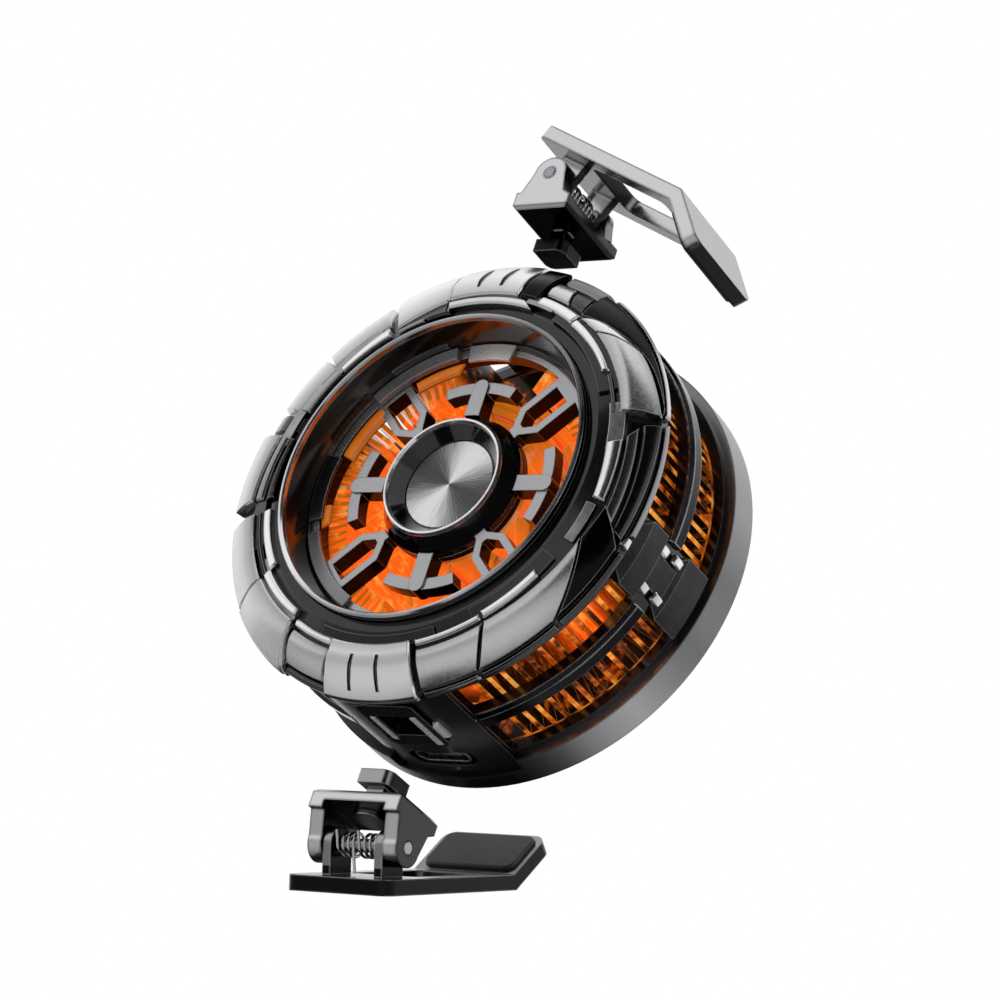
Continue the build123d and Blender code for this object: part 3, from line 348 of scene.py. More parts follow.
def surface(settings):
    # a finish: colours picked by its pattern, edges with wear and painted edge light, fine grain in
    # the roughness and a bump
    settings = {**plainFinish, **settings}
    material, tree, output = newMaterial(settings["name"])
    place = addNode(tree, "ShaderNodeTexCoord").outputs["Object"]
    pattern = settings["pattern"](tree, place, settings)
    picked = addNode(tree, "ShaderNodeValToRGB", {"Fac": pattern})
    stops = settings.get("stops") or [(0.3, settings["dark"]), (0.7, settings["light"])]
    while len(picked.color_ramp.elements) < len(stops):
        picked.color_ramp.elements.new(0.5)
    for element, (spot, colour) in zip(picked.color_ramp.elements, stops):
        element.position = spot
        element.color = linear(colour)
    body = picked.outputs["Color"]
    # painted shade: the colour times each vertex's shade
    if settings["shade"]:
        shade = addNode(tree, "ShaderNodeAttribute", attribute_name="shade").outputs["Color"]
        body = addNode(
            tree, "ShaderNodeMix", {0: 1.0, 6: body, 7: shade},
            data_type="RGBA", blend_type="MULTIPLY",
        ).outputs[2]
    # a rounded normal leaves the flat one only along edges, and there the edge colour is mixed in
    # as
    # wear and painted edge light: a painted highlight where the edge colour is light and a painted
    # dark line where it is dark
    rounded = addNode(
        tree, "ShaderNodeBevel", {"Radius": settings["edge"] * mm}, samples=texture["edgeSamples"],
    ).outputs["Normal"]
    flat = addNode(tree, "ShaderNodeNewGeometry").outputs["Normal"]
    match = addNode(
        tree, "ShaderNodeVectorMath", {0: rounded, 1: flat}, operation="DOT_PRODUCT",
    ).outputs["Value"]
    start, full = texture["edgeWearAndLight"]
    edgeWearAndLight = addNode(
        tree, "ShaderNodeMapRange",
        {"Value": match, "From Min": start, "From Max": full, "To Min": 0.0,
         "To Max": settings["wearAndEdgeLight"]},
    ).outputs["Result"]
    body = addNode(
        tree, "ShaderNodeMix", {0: edgeWearAndLight, 6: body, 7: linear(settings["edgeColour"])},
        data_type="RGBA",
    ).outputs[2]
    grain = addNode(
        tree, "ShaderNodeTexNoise",
        {"Vector": place, "Scale": 1 / (texture["grain"] * mm), "Detail": 2.0},
    ).outputs["Fac"]
    low, high = texture["grainSpan"]
    smooth, coarse = settings["rough"]
    rough = addNode(
        tree, "ShaderNodeMapRange",
        {"Value": grain, "From Min": low, "From Max": high, "To Min": smooth, "To Max": coarse},
    ).outputs["Result"]
    bump = addNode(
        tree, "ShaderNodeBump",
        {"Height": grain, "Normal": rounded, "Strength": settings["bump"],
         "Distance": texture["bumpHeight"] * mm},
    ).outputs["Normal"]
    shader = addNode(
        tree, "ShaderNodeBsdfPrincipled",
        {"Base Color": body, "Roughness": rough, "Normal": bump, "Metallic": settings["metal"],
         "Coat Weight": settings["coat"], "Coat Roughness": texture["coatRough"],
         "Anisotropic": settings["lay"]},
    )
    # glow in the body colour by lit: the lamp chips' own light, and a painted glow on the rotor,
    # the fins and the orange steps
    if settings["lit"]:
        tree.links.new(body, shader.inputs["Emission Color"])
        shader.inputs["Emission Strength"].default_value = settings["lit"]
    if settings["lay"]:
        tangent = addNode(tree, "ShaderNodeTangent", direction_type="RADIAL", axis="Y").outputs[0]
        tree.links.new(tangent, shader.inputs["Tangent"])
    tree.links.new(shader.outputs["BSDF"], output)
    return material


def atAngles(*stops):
    # stops of a swept finish, given in degrees from -180 to 180
    return [((angle + 180) / 360, colour) for angle, colour in stops]


# Finishes by the record's slots: what the real metal, plastic or rubber gives the eye, with the
# painted light and shade that some of them carry
finishes = {
    # satin die-cast band whose turned side catches the light in broad bands, painted as light and
    # shade round the axis
    "base_metal": dict(
        name="satin die-cast aluminium", pattern=swept, stops=atAngles(
            (-180, "#5a5a5c"), (-110, "#2a2a2b"), (-86, "#1a1a1b"), (-72, "#404042"),
            (-58, "#8a8a8c"), (-42, "#c0c0c2"), (-22, "#808082"), (-6, "#6c6c6e"),
            (12, "#8e8e90"), (40, "#8a8a8c"), (179, "#5a5a5c")),
        metal=1.0, rough=(0.28, 0.36), wearAndEdgeLight=0.4, edgeColour="#303032", edge=0.5),
    # bright turned plate that touches the phone
    "plate_metal": dict(
        name="turned aluminium", pattern=faceTurned, dark="#a4a5a8", light="#d4d5d7",
        metal=1.0, rough=(0.22, 0.3), wearAndEdgeLight=0.2, lay=0.6),
    # soft matte black that hardly mirrors anything
    "soft_ring": dict(
        name="silicone rubber", dark="#1c1c1d", light="#262627", rough=(0.6, 0.75), wearAndEdgeLight=0.1),
    # chalky off-white plates
    "module_ceramic": dict(
        name="alumina ceramic", dark="#dedcd6", light="#eceae4", rough=(0.5, 0.6), wearAndEdgeLight=0.0),
    # dull open black
    "gasket_foam": dict(
        name="closed cell foam", dark="#1d1d1e", light="#2b2b2c", rough=(0.8, 0.9), wearAndEdgeLight=0.0),
    # small bright heads
    "screw_steel": dict(
        name="turned steel", dark="#8d8e91", light="#a9aaad", metal=1.0, rough=(0.2, 0.32),
        wearAndEdgeLight=0.3),
    # deep gloss black that gathers thin highlights, more of them painted along its edges
    "black_plastic": dict(
        name="gloss black ABS", dark="#070708", light="#0c0c0d", rough=(0.16, 0.24),
        wearAndEdgeLight=0.3, edgeColour="#505052", coat=0.2),
    # black nickel with painted highlights on its corners
    "ring_metal": dict(
        name="black nickel plate", dark="#19191b", light="#27272a", metal=1.0,
        rough=(0.12, 0.2), wearAndEdgeLight=1.0, edge=0.35),
    # satin charcoal facets
    "dark_cover": dict(
        name="charcoal lacquered zinc", dark="#222224", light="#303032", metal=0.8,
        rough=(0.26, 0.36), wearAndEdgeLight=0.6, mottle=3),
    # thin silver bars that catch a soft light along their tops
    "rail_metal": dict(
        name="silver lacquered bars", dark="#b8b8ba", light="#cacacc", metal=0.3,
        rough=(0.2, 0.3), wearAndEdgeLight=0.4),
    # blackened pressed sockets, near black as painted shade
    "socket_steel": dict(
        name="blackened spring steel", dark="#101011", light="#18181a", metal=0.6,
        rough=(0.2, 0.3), wearAndEdgeLight=0.6, edgeColour="#8a8a8c"),
    # dull grey glint deep in the charging slot
    "inlet_steel": dict(
        name="drawn steel shell", dark="#8a8b8e", light="#a2a3a6", metal=1.0,
        rough=(0.24, 0.34), wearAndEdgeLight=0.3),
    # dark green sheen of a small circuit board
    "board": dict(
        name="solder masked laminate", dark="#0d1a13", light="#15261c", rough=(0.35, 0.45),
        wearAndEdgeLight=0.1),
    # piano black carrier under the plates
    "bezel_black": dict(
        name="piano black ABS", dark="#09090a", light="#101012", metal=0.5, rough=(0.1, 0.16),
        wearAndEdgeLight=0.6, edgeColour="#a0a0a2", coat=0.4),
    # chromed rim with painted light: bright to the left, painted shade where it turns away
    "rim_chrome": dict(
        name="satin chromed rim", pattern=rimmed, brightest=40 / 360, stops=atAngles(
            (-180, "#c8c8ca"), (-140, "#e6e6e8"), (-95, "#8c8c8e"), (-60, "#c0c0c2"),
            (-30, "#3a3a3c"), (20, "#2c2c2e"), (60, "#6c6c6e"), (95, "#a8a8aa"),
            (130, "#8c8c8e"), (179, "#c8c8ca")),
        metal=1.0, rough=(0.1, 0.16), wearAndEdgeLight=0.8, edgeColour="#e8e8ea"),
    # gloss wall with a painted reflection of the orange below it, a warm brown at some angles
    "dish_gloss": dict(
        name="smoked gloss wall", pattern=swept, stops=atAngles(
            (-180, "#2c2620"), (-130, "#141213"), (-60, "#1a1a1b"), (60, "#141415"),
            (92, "#4a3320"), (118, "#1c1917"), (150, "#5a544c"), (179, "#2c2620")),
        metal=0.7, rough=(0.08, 0.14), wearAndEdgeLight=0.3, coat=0.5),
    # moulded steps in the dish with painted light and shade round the axis: grey at the top left
    # and nearly black at the left
    "ledge_grey": dict(
        name="grey lacquered ledge", pattern=swept, stops=atAngles(
            (-180, "#1c1c1e"), (-168, "#1c1c1e"), (-160, "#5a5a5c"), (-130, "#8c8c8e"),
            (-60, "#3c3c3e"), (60, "#9c9c9e"), (88, "#d8d6d2"), (101, "#b0aeac"),
            (104, "#8c8c8e"), (130, "#767678"), (142, "#8a8a8c"), (166, "#1e1e20"),
            (179, "#1c1c1e")),
        metal=0.6, rough=(0.26, 0.36), wearAndEdgeLight=0.7),
    # black mouldings whose flat fronts are lacquered a soft grey
    "grille_black": dict(
        name="two-tone moulded grille", pattern=faced, stops=[(0.0, "#0b0b0c"), (1.0, "#a6a6a9")],
        metal=0.8, rough=(0.2, 0.3), wearAndEdgeLight=0.9, edge=0.22, edgeColour="#b4b4b6"),
    # wet black drum with a crisp highlight, painted along its edges
    "hub_gloss": dict(
        name="gloss black hub", dark="#0a0a0b", light="#111112", metal=0.5, rough=(0.08, 0.14),
        wearAndEdgeLight=0.3, coat=0.5),
    # two painted fans of light that meet at the centre, as on any radially brushed cap
    "cap_brushed": dict(
        name="radially brushed steel", pattern=brushed, lobe=62, lay=0.8,
        stops=[(0.2, "#323233"), (0.5, "#5c5c5d"), (0.75, "#a8a8a9"), (0.95, "#e4e4e4")],
        metal=1.0, rough=(0.28, 0.34), wearAndEdgeLight=0.2),
    # dull yellow brown
    "bushing_bronze": dict(
        name="sintered bronze", dark="#8a6335", light="#a3783f", metal=1.0, rough=(0.3, 0.4),
        wearAndEdgeLight=0.2),
    # flat grey with hardly a highlight
    "stator_steel": dict(
        name="stacked silicon steel", dark="#6f7073", light="#84858a", metal=1.0,
        rough=(0.35, 0.45), wearAndEdgeLight=0.2),
    # reddish gloss of enamelled wire
    "winding_copper": dict(
        name="enamelled copper wire", dark="#8e3f18", light="#b2561f", metal=0.9,
        rough=(0.25, 0.35), wearAndEdgeLight=0.1),
    # small glowing chips behind the fan
    "lamp": dict(
        name="orange lamp resin", dark="#ff9a40", light="#ffb060", rough=(0.3, 0.4), wearAndEdgeLight=0.0,
        lit=4.0),
    # cool satin silver
    "badge_silver": dict(
        name="bright collar trim", dark="#747476", light="#a0a0a2", metal=1.0,
        rough=(0.18, 0.26), wearAndEdgeLight=0.8, mottle=4),
    # dark plate that mirrors the studio softly
    "armour_metal": dict(
        name="dark plated steel", dark="#3c3c3e", light="#4c4c4e", metal=1.0,
        rough=(0.14, 0.24), wearAndEdgeLight=0.5, mottle=14),
    # even mid grey metal
    "step_metal": dict(
        name="satin plated steel", dark="#98989a", light="#a8a8aa", metal=1.0,
        rough=(0.2, 0.3), wearAndEdgeLight=0.4, mottle=14),
    # clear orange polycarbonate with the lamps behind it, as a painted glow and painted highlight
    # streaks: red, orange and nearly white
    "rotor_orange": dict(
        name="lit orange polycarbonate", pattern=swirled, stops=[
            (0.30, "#8a3c06"), (0.40, "#e87a14"), (0.56, "#f8962c"), (0.66, "#f2502c"),
            (0.72, "#f89c3c"), (0.80, "#ffe6cc")],
        rough=(0.1, 0.16), wearAndEdgeLight=0.6, edgeColour="#ffc890", coat=1.0, lit=0.35),
    # dead matte brownish black
    "magnet": dict(
        name="bonded ferrite", dark="#1f1d1d", light="#2a2828", rough=(0.5, 0.6), wearAndEdgeLight=0.0),
    # black oxide on the studs and on the lower lever, with a painted silvery highlight only where
    # it faces the light
    "clip_dark": dict(
        name="black oxide steel", pattern=directed, lightFrom=-56.4, lightTo=0,
        stops=[(0.0, "#0a0a0b"), (0.5, "#1a1a1c"), (0.7, "#2c2c2e"), (1.0, "#9a9a9c")],
        metal=1.0, rough=(0.18, 0.26), wearAndEdgeLight=0.8, edge=0.3, edgeColour="#b0b0b2"),
    # painted light on the front and top over undersides in painted shade, nearly black, with
    # painted dark lines along the edges
    "clip_bright": dict(
        name="two-tone plated steel", pattern=directed, lightFrom=-80, lightTo=80,
        stops=[(0.0, "#0e0e0f"), (0.34, "#3e3e40"), (0.62, "#9c9c9e"), (1.0, "#cacacc")],
        metal=1.0, rough=(0.18, 0.26), wearAndEdgeLight=1.0, edge=0.6, edgeColour="#141415"),
    # soft black with a faint grain and a paler edge
    "pad_rubber": dict(
        name="black rubber pad", dark="#161617", light="#1e1e1f", rough=(0.35, 0.45),
        wearAndEdgeLight=0.4, edgeColour="#4a4a4c", bump=0.2),
    # bright drawn wire with a line of light along each coil
    "spring_steel": dict(
        name="spring steel wire", dark="#b6b6b9", light="#d0d0d3", metal=1.0,
        rough=(0.12, 0.2), wearAndEdgeLight=0.0),
    # orange anodised sheet with painted light: gold painted highlights on the edges, dark copper
    # flanks in painted shade and a painted glow
    "orange_fins": dict(
        name="orange anodised aluminium", pattern=finned, stops=[
            (0.0, "#140802"), (0.2, "#4a1e06"), (0.5, "#c85a10"), (0.75, "#f08020"),
            (1.0, "#ffb050")],
        metal=0.7, rough=(0.16, 0.26), wearAndEdgeLight=0.3, edge=0.15, edgeColour="#ffc070", lit=0.55),
}

# Copies of the armour's steel for the facets, polished and satin, painted in tones of light and
# shade from near white to black chrome
paintedFacetTones = {
    "white": dict(dark="#e4e4e5", light="#f2f2f3", rough=(0.16, 0.22), wearAndEdgeLight=0.2),
    "light": dict(dark="#cacacc", light="#dadadc", rough=(0.2, 0.28), wearAndEdgeLight=0.3),
    "mid": dict(dark="#868688", light="#98989a", rough=(0.18, 0.26), wearAndEdgeLight=0.4),
    "dim": dict(dark="#444446", light="#525254", rough=(0.16, 0.24), wearAndEdgeLight=0.5),
    "dark": dict(dark="#1a1a1b", light="#262627", rough=(0.14, 0.2), wearAndEdgeLight=0.6),
    "black": dict(dark="#070707", light="#0c0c0d", rough=(0.12, 0.18), wearAndEdgeLight=0.3),
}


def paintNodes():
    # every solid gets the finish of its slot in the record
    slots = {part["node"]: part["material_slot"] for part in frame["record"]["subparts"]}
    made = {slot: surface(settings) for slot, settings in finishes.items()}
    for name, item in frame["nodes"].items():
        item.data.materials.clear()
        item.data.materials.append(made[slots[name]])
    return made


materials = paintNodes()
# a copy of the armour steel for each painted tone of light and shade, each times the painted vertex
# shade
facets = {
    name: surface(dict(settings, name=name + " armour steel", metal=1.0, mottle=14, shade=True))
    for name, settings in paintedFacetTones.items()
}
# a clear orange coat over the dish's steps with a painted glow, as if lit a little from behind, and
# painted shade from the vertex shade
facets["orange"] = surface(dict(
    name="orange lacquered step", dark="#d46a10", light="#e67c18", rough=(0.2, 0.28), wearAndEdgeLight=0.3,
    edgeColour="#ffb070", lit=0.25, shade=True,
))
print("finishes on", len(frame["nodes"]), "nodes")


# Mesh helpers

def gridFaces(rows, columns, offset=0):
    # quads between neighbouring rows and columns of a grid of points
    i, j = np.meshgrid(np.arange(rows - 1), np.arange(columns - 1), indexing="ij")
    first = offset + i * columns + j
    return np.stack((first, first + columns, first + columns + 1, first + 1), -1).reshape(-1, 4)


def addPiece(
    name, points, faces, slots, body,
    replaced=(), faceSlots=None, shades=None, sharp=24,
):
    # one mesh piece on a body, with a material per face and a shade per vertex where they are
    # given; edges that turn more than sharp degrees stay hard
    mesh = bpy.data.meshes.new(name)
    mesh.from_pydata(points.tolist(), [], faces)
    for material in slots:
        mesh.materials.append(material)
    if faceSlots is not None:
        mesh.polygons.foreach_set("material_index", np.asarray(faceSlots, dtype=np.int32))
    if shades is not None:
        shade = mesh.attributes.new("shade", "FLOAT_COLOR", "POINT")
        shade.data.foreach_set("color", np.repeat(shades.astype(np.float32), 4))
    mesh.polygons.foreach_set("use_smooth", np.ones(len(mesh.polygons), dtype=bool))
    mesh.set_sharp_from_angle(angle=math.radians(sharp))
    mesh.update()
    item = bpy.data.objects.new(name, mesh)
    bpy.context.scene.collection.objects.link(item)
    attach(item, body)
    if replaced:
        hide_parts(*replaced)


# Facets lie on a section: place along it, radius, depth and the outward share of its normal.
# unit is the length of one step of place, so that chamfers stay real lengths.

sections = {
    "bezel": dict(
        place=(0.0, 1.0, 2.0, 3.0, 4.0), radius=(34.1, 34.1, 30.6, 26.2, 24.8),
        depth=(25.7, 27.3, 29.7, 31.1, 31.2), out=(1.0, 0.86, 0.44, 0.2, 0.1), unit=4.0),
    "frame": dict(
        place=(0.0, 40.0), radius=(34.0, 34.0), depth=(0.0, 40.0), out=(1.0, 1.0), unit=1.0),
    "dish": dict(
        place=(18.0, 23.0), radius=(18.0, 23.0), depth=(25.9, 25.9), out=(0.0, 0.0), unit=1.0),
    "wall": dict(
        place=(0.0, 1.0), radius=(24.6, 22.95), depth=(31.6, 26.7), out=(-0.95, -0.95), unit=5.2),
}

# radius turns an angle to a length, seam is left free at each border and foot is how far the sides
# go down into the section. Painted shades: faceEnds at both ends of a facet and side down its
# sides.
facetShape = {
    "radius": 33.0, "bulge": 0.3, "bulgeAt": 4.0, "chamfer": 0.22, "seam": 0.12, "foot": 0.15,
    "angleStep": 1.0, "rows": 9, "faceEnds": 0.45, "side": 0.04,
}

# corners: outer start, outer end, inner end, inner start, each (angle, place); then lift and
# finish, the finish being a painted tone of light and shade. The thin black slabs on the badges
# stand for the shade in grooves, as painted shade.
armour = {
    "badge_lower": [
        (((-103.5, 0.75), (-77.5, 0.75), (-77.0, 2.62), (-103.8, 2.62)), 1.35, "white"),
        (((-103.2, 0.3), (-77.8, 0.3), (-77.5, 0.74), (-103.5, 0.74)), 1.0, "mid"),
        (((-96.0, 1.2), (-94.4, 1.2), (-94.2, 2.34), (-95.8, 2.34)), 1.6, "black"),
        (((-88.0, 1.2), (-86.4, 1.2), (-86.2, 2.34), (-87.8, 2.34)), 1.6, "black"),
    ],
    "armour_lower_right": [
        (((-61.5, 1.1), (-41.6, 1.1), (-21.2, 2.2), (-55.0, 2.34)), 1.1, "light"),
        (((-55.0, 2.35), (-36.5, 2.35), (-35.5, 2.66), (-55.0, 2.66)), 1.05, "white"),
        (((-61.5, 0.35), (-41.0, 0.35), (-41.0, 1.04), (-61.5, 1.04)), 0.8, "dim"),
    ],
    "armour_right_low": [
        (((-41.0, 1.1), (-19.6, 1.1), (-11.0, 2.05), (-20.6, 2.2)), 1.15, "dark"),
        (((-40.6, 0.35), (-19.4, 0.35), (-19.6, 1.04), (-40.6, 1.04)), 0.8, "dim"),
        (((-19.0, 0.4), (-15.8, 0.5), (-15.8, 1.05), (-18.6, 1.2)), 1.05, "white"),
        (((-18.2, 1.12), (13.0, 1.05), (12.4, 1.66), (-16.6, 1.52)), 1.15, "dim"),
        (((-16.4, 1.55), (12.0, 1.7), (8.2, 2.1), (-12.0, 2.0)), 1.0, "mid"),
        (((-11.0, 2.08), (8.0, 2.12), (6.5, 2.66), (-10.6, 2.5)), 1.1, "white"),
        (((-15.6, 0.3), (14.8, 0.3), (13.0, 1.0), (-15.6, 1.0)), 0.85, "mid"),
    ],
    "armour_right_high": [
        (((14.6, 1.08), (33.0, 1.36), (46.5, 2.36), (16.0, 2.36)), 1.3, "light"),
        (((33.2, 1.38), (47.0, 2.0), (54.2, 2.42), (46.7, 2.36)), 1.3, "white"),
        (((15.0, 1.05), (58.2, 1.15), (54.6, 2.4), (33.4, 1.36)), 1.3, "dark"),
        (((30.5, 2.45), (54.4, 2.45), (54.4, 2.78), (31.5, 2.72)), 1.2, "white"),
        (((16.0, 2.42), (30.0, 2.42), (30.0, 2.62), (16.0, 2.6)), 1.1, "dim"),
        (((15.4, 0.3), (52.0, 0.3), (56.0, 1.0), (15.2, 1.0)), 0.95, "light"),
    ],
    "badge_upper": [
        (((79.5, 0.75), (103.0, 0.75), (103.0, 2.6), (79.0, 2.6)), 1.35, "white"),
        (((76.0, 2.66), (103.0, 2.66), (102.6, 3.0), (70.0, 3.0)), 1.2, "light"),
        (((72.2, 0.8), (79.2, 0.8), (78.6, 2.6), (71.8, 2.6)), 1.25, "black"),
        (((93.4, 1.2), (95.0, 1.2), (95.0, 2.34), (93.4, 2.34)), 1.6, "black"),
        (((86.0, 1.2), (87.6, 1.2), (87.6, 2.34), (86.0, 2.34)), 1.6, "black"),
    ],
    "armour_upper_left": [
        (((103.2, 0.4), (119.2, 0.4), (121.0, 3.0), (103.2, 2.6)), 1.15, "white"),
        (((101.5, 3.05), (110.5, 3.05), (110.5, 3.6), (101.5, 3.6)), 0.9, "dark"),
        (((110.8, 3.05), (121.0, 3.05), (121.0, 3.6), (110.8, 3.6)), 0.9, "mid"),
    ],
    "plate_upper_left": [
        (((123.4, 2.62), (142.8, 2.82), (142.8, 3.3), (123.4, 3.3)), 1.0, "white"),
        (((122.6, 0.3), (143.0, 0.3), (143.0, 2.7), (123.2, 2.5)), 0.8, "light"),
    ],
    "plate_left_high": [
        (((143.4, 2.7), (160.0, 2.5), (160.0, 3.3), (143.4, 3.3)), 0.9, "mid"),
        (((143.4, 0.3), (160.0, 0.3), (160.0, 2.45), (143.4, 2.6)), 0.7, "light"),
    ],
    "plate_left": [
        (((167.5, 0.3), (189.0, 0.3), (190.0, 2.15), (168.5, 2.4)), 1.2, "light"),
        (((168.5, 2.46), (190.0, 2.2), (190.6, 2.6), (169.0, 2.8)), 1.0, "mid"),
        (((169.0, 2.86), (191.0, 2.66), (191.4, 3.15), (169.4, 3.3)), 0.7, "dark"),
    ],
    "armour_left": [
        (((194.0, 0.3), (217.2, 0.3), (217.4, 2.3), (194.0, 2.3)), 1.1, "light"),
        (((194.2, 2.36), (217.4, 2.36), (217.4, 2.62), (194.4, 2.62)), 0.8, "dark"),
        (((194.6, 2.66), (217.4, 2.66), (217.0, 3.1), (195.0, 3.1)), 0.7, "white"),
    ],
    "armour_lower_left": [
        (((217.8, 0.55), (242.2, 0.55), (238.8, 2.5), (217.8, 2.4)), 1.35, "light"),
        (((217.8, 2.46), (238.8, 2.56), (238.6, 2.85), (217.8, 2.8)), 1.2, "white"),
        (((218.4, 0.1), (241.8, 0.1), (242.0, 0.5), (218.2, 0.5)), 1.0, "dim"),
    ],
    "step_blocks": [
        (((-76.6, 1.1), (-62.0, 1.1), (-55.6, 2.34), (-76.2, 2.34)), 0.8, "light"),
        (((-76.2, 2.38), (-55.6, 2.38), (-55.6, 2.62), (-76.2, 2.62)), 0.85, "white"),
        (((-76.6, 0.3), (-62.0, 0.3), (-62.0, 1.04), (-76.6, 1.04)), 0.6, "mid"),
        (((58.8, 1.45), (65.5, 1.5), (61.5, 2.26), (55.6, 2.26)), 0.85, "dim"),
        (((65.8, 1.5), (71.8, 1.5), (71.4, 2.26), (61.8, 2.26)), 0.85, "light"),
        (((55.4, 2.3), (71.4, 2.3), (71.2, 2.72), (55.4, 2.72)), 0.95, "white"),
        (((57.0, 0.3), (71.8, 0.3), (71.8, 1.4), (58.8, 1.4)), 0.6, "mid"),
        (((-118.6, 1.2), (-104.4, 1.2), (-104.4, 2.3), (-120.0, 2.3)), 0.85, "light"),
        (((-120.0, 2.34), (-104.4, 2.34), (-104.4, 2.62), (-120.4, 2.62)), 0.9, "white"),
        (((-118.2, 0.3), (-104.2, 0.3), (-104.4, 1.15), (-118.4, 1.15)), 0.6, "dim"),
        (((161.0, 0.4), (166.8, 0.4), (167.0, 3.0), (161.2, 3.0)), 0.35, "black"),
    ],
}

# small corners where the struts pass the middle hoop, in the white tone as painted highlights: how
# far each corner is round from the first one, how deep it is, and the angles that the first one is
# at
strutCorners = [
    ((0, 2.8, 3.2, 0.4), (14.4, 14.0, 16.4, 16.8), (-12.6, -22.6)),
    ((0, 2.8, 3.2, 0.6), (18.2, 17.8, 20.0, 20.6), (-13.0, -22.8)),
]
strutFacets = [
    (tuple((turn + first + step, depth) for step, depth in zip(steps, depths)), 0.5, "white")
    for steps, depths, firsts in strutCorners for turn in (0, 180) for first in firsts
]
# orange lacquered steps round the grille's outer edge
dishSteps = [
    (((102.0, 20.85), (125.0, 20.85), (125.0, 18.9), (104.5, 18.9)), 0.5, "orange"),
    (((141.5, 21.35), (166.0, 21.35), (167.5, 18.9), (141.5, 18.7)), 0.45, "orange"),
    (((-171.0, 21.35), (-161.0, 21.35), (-162.0, 19.8), (-171.5, 19.8)), 0.4, "orange"),
]
# painted reflections just inside the rim: thin bands, grey over the smoked wall
wallBands = [
    (((97.0, 0.03), (133.0, 0.03), (133.0, 0.3), (98.0, 0.2)), 0.1, "mid"),
    (((133.4, 0.03), (171.0, 0.03), (170.0, 0.34), (133.4, 0.34)), 0.1, "light"),
    (((171.4, 0.03), (214.0, 0.03), (213.0, 0.26), (171.0, 0.34)), 0.1, "mid"),
    (((143.0, 0.42), (162.0, 0.42), (164.0, 0.95), (140.0, 0.95)), 0.07, "dim"),
    (((108.0, 0.5), (131.0, 0.45), (130.0, 0.97), (106.0, 0.97)), 0.07, "mid"),
]


def sectionPoint(section, angle, place, lift):
    # radius and depth read along the section, then pushed out along its normal by the lift
    out = np.interp(place, section["place"], section["out"])
    radius = np.interp(place, section["place"], section["radius"]) + lift * out
    depth = np.interp(place, section["place"], section["depth"]) + lift * np.sqrt(1 - out ** 2)
    turn = np.radians(angle)
    return np.stack((radius * np.cos(turn), -depth, radius * np.sin(turn)), -1) * mm


def facetBlock(section, facetCorners, lift, offset):
    # a bilinear patch: each point is the mean of the four corners, weighted by how near it is,
    # P = (1-u)(1-v)A + u(1-v)B + uvC + (1-u)vD. Its height is the lift plus half a sine wave
    # across v, and its border falls by a chamfer and then into the section. The painted shade
    # leaves the chamfer at full brightness as a painted highlight, fades by the same sine towards
    # both ends of v and is nearly black on the sides, as painted shade in the gaps.
    # A chamfer takes at most 0.3 of a side and a seam 0.1, so that narrow facets keep a top.
    (a0, s0), (a1, s1), (a2, s2), (a3, s3) = facetCorners
    sweep = max(abs(a1 - a0), abs(a2 - a3))
    width = math.radians(max(sweep, 0.5)) * facetShape["radius"]
    height = max(abs(s3 - s0), abs(s2 - s1), 0.05) * section["unit"]
    chamfer = min(facetShape["chamfer"], 0.6 * lift)
    across, along = min(chamfer / width, 0.3), min(chamfer / height, 0.3)
    seamU, seamV = min(facetShape["seam"] / width, 0.1), min(facetShape["seam"] / height, 0.1)
    count = max(3, int(sweep / facetShape["angleStep"]))
    u = np.concatenate(([0, 0], np.linspace(across, 1 - across, count), [1, 1]))
    v = np.concatenate(([0, 0], np.linspace(along, 1 - along, facetShape["rows"]), [1, 1]))
    levels = [np.full(len(knots), float(lift)) for knots in (u, v)]
    for level in levels:
        level[[1, -2]] = lift - chamfer
        level[[0, -1]] = -facetShape["foot"]
    level = np.minimum(*np.meshgrid(*levels, indexing="ij"))
    u, v = seamU + u * (1 - 2 * seamU), seamV + v * (1 - 2 * seamV)
    u, v = np.meshgrid(u, v, indexing="ij")
    angle = (1 - u) * (1 - v) * a0 + u * (1 - v) * a1 + u * v * a2 + (1 - u) * v * a3
    place = (1 - u) * (1 - v) * s0 + u * (1 - v) * s1 + u * v * s2 + (1 - u) * v * s3
    wave = np.sin(np.pi * v)
    # painted light and shade: bright chamfer, darker towards the ends of v, nearly black sides
    onTop = level > lift - chamfer / 2
    shade = np.where(onTop, facetShape["faceEnds"] + (1 - facetShape["faceEnds"]) * wave, 1.0)
    shade = np.where(level < 0, facetShape["side"], shade)
    level = level + facetShape["bulge"] * min(height / facetShape["bulgeAt"], 1) * wave * onTop
    points = sectionPoint(section, angle, place, level).reshape(-1, 3)
    # the top, a row of quads that closes the underside, and a face at either end
    rows, columns = u.shape
    index = offset + np.arange(rows * columns).reshape(rows, columns)
    first, last = index[:, 0], index[:, -1]
    under = np.stack((first[:-1], last[:-1], last[1:], first[1:]), -1)
    faces = np.concatenate((gridFaces(rows, columns, offset), under)).tolist()
    faces += [index[0].tolist(), index[-1, ::-1].tolist()]
    return points, faces, shade.reshape(-1)


def addFacets(name, section, table, replaced=()):
    # all the facets of one piece in one mesh, each in its own painted tone of light and shade
    names = list(facets)
    points, faces, slots, shades = [], [], [], []
    for facetCorners, lift, finish in table:
        offset = sum(len(part) for part in points)
        block, blockFaces, blockShades = facetBlock(sections[section], facetCorners, lift, offset)
        points.append(block)
        shades.append(blockShades)
        faces += blockFaces
        slots += [names.index(finish)] * len(blockFaces)
    addPiece(
        name, np.concatenate(points), faces, list(facets.values()), "root", replaced,
        slots, np.concatenate(shades),
    )


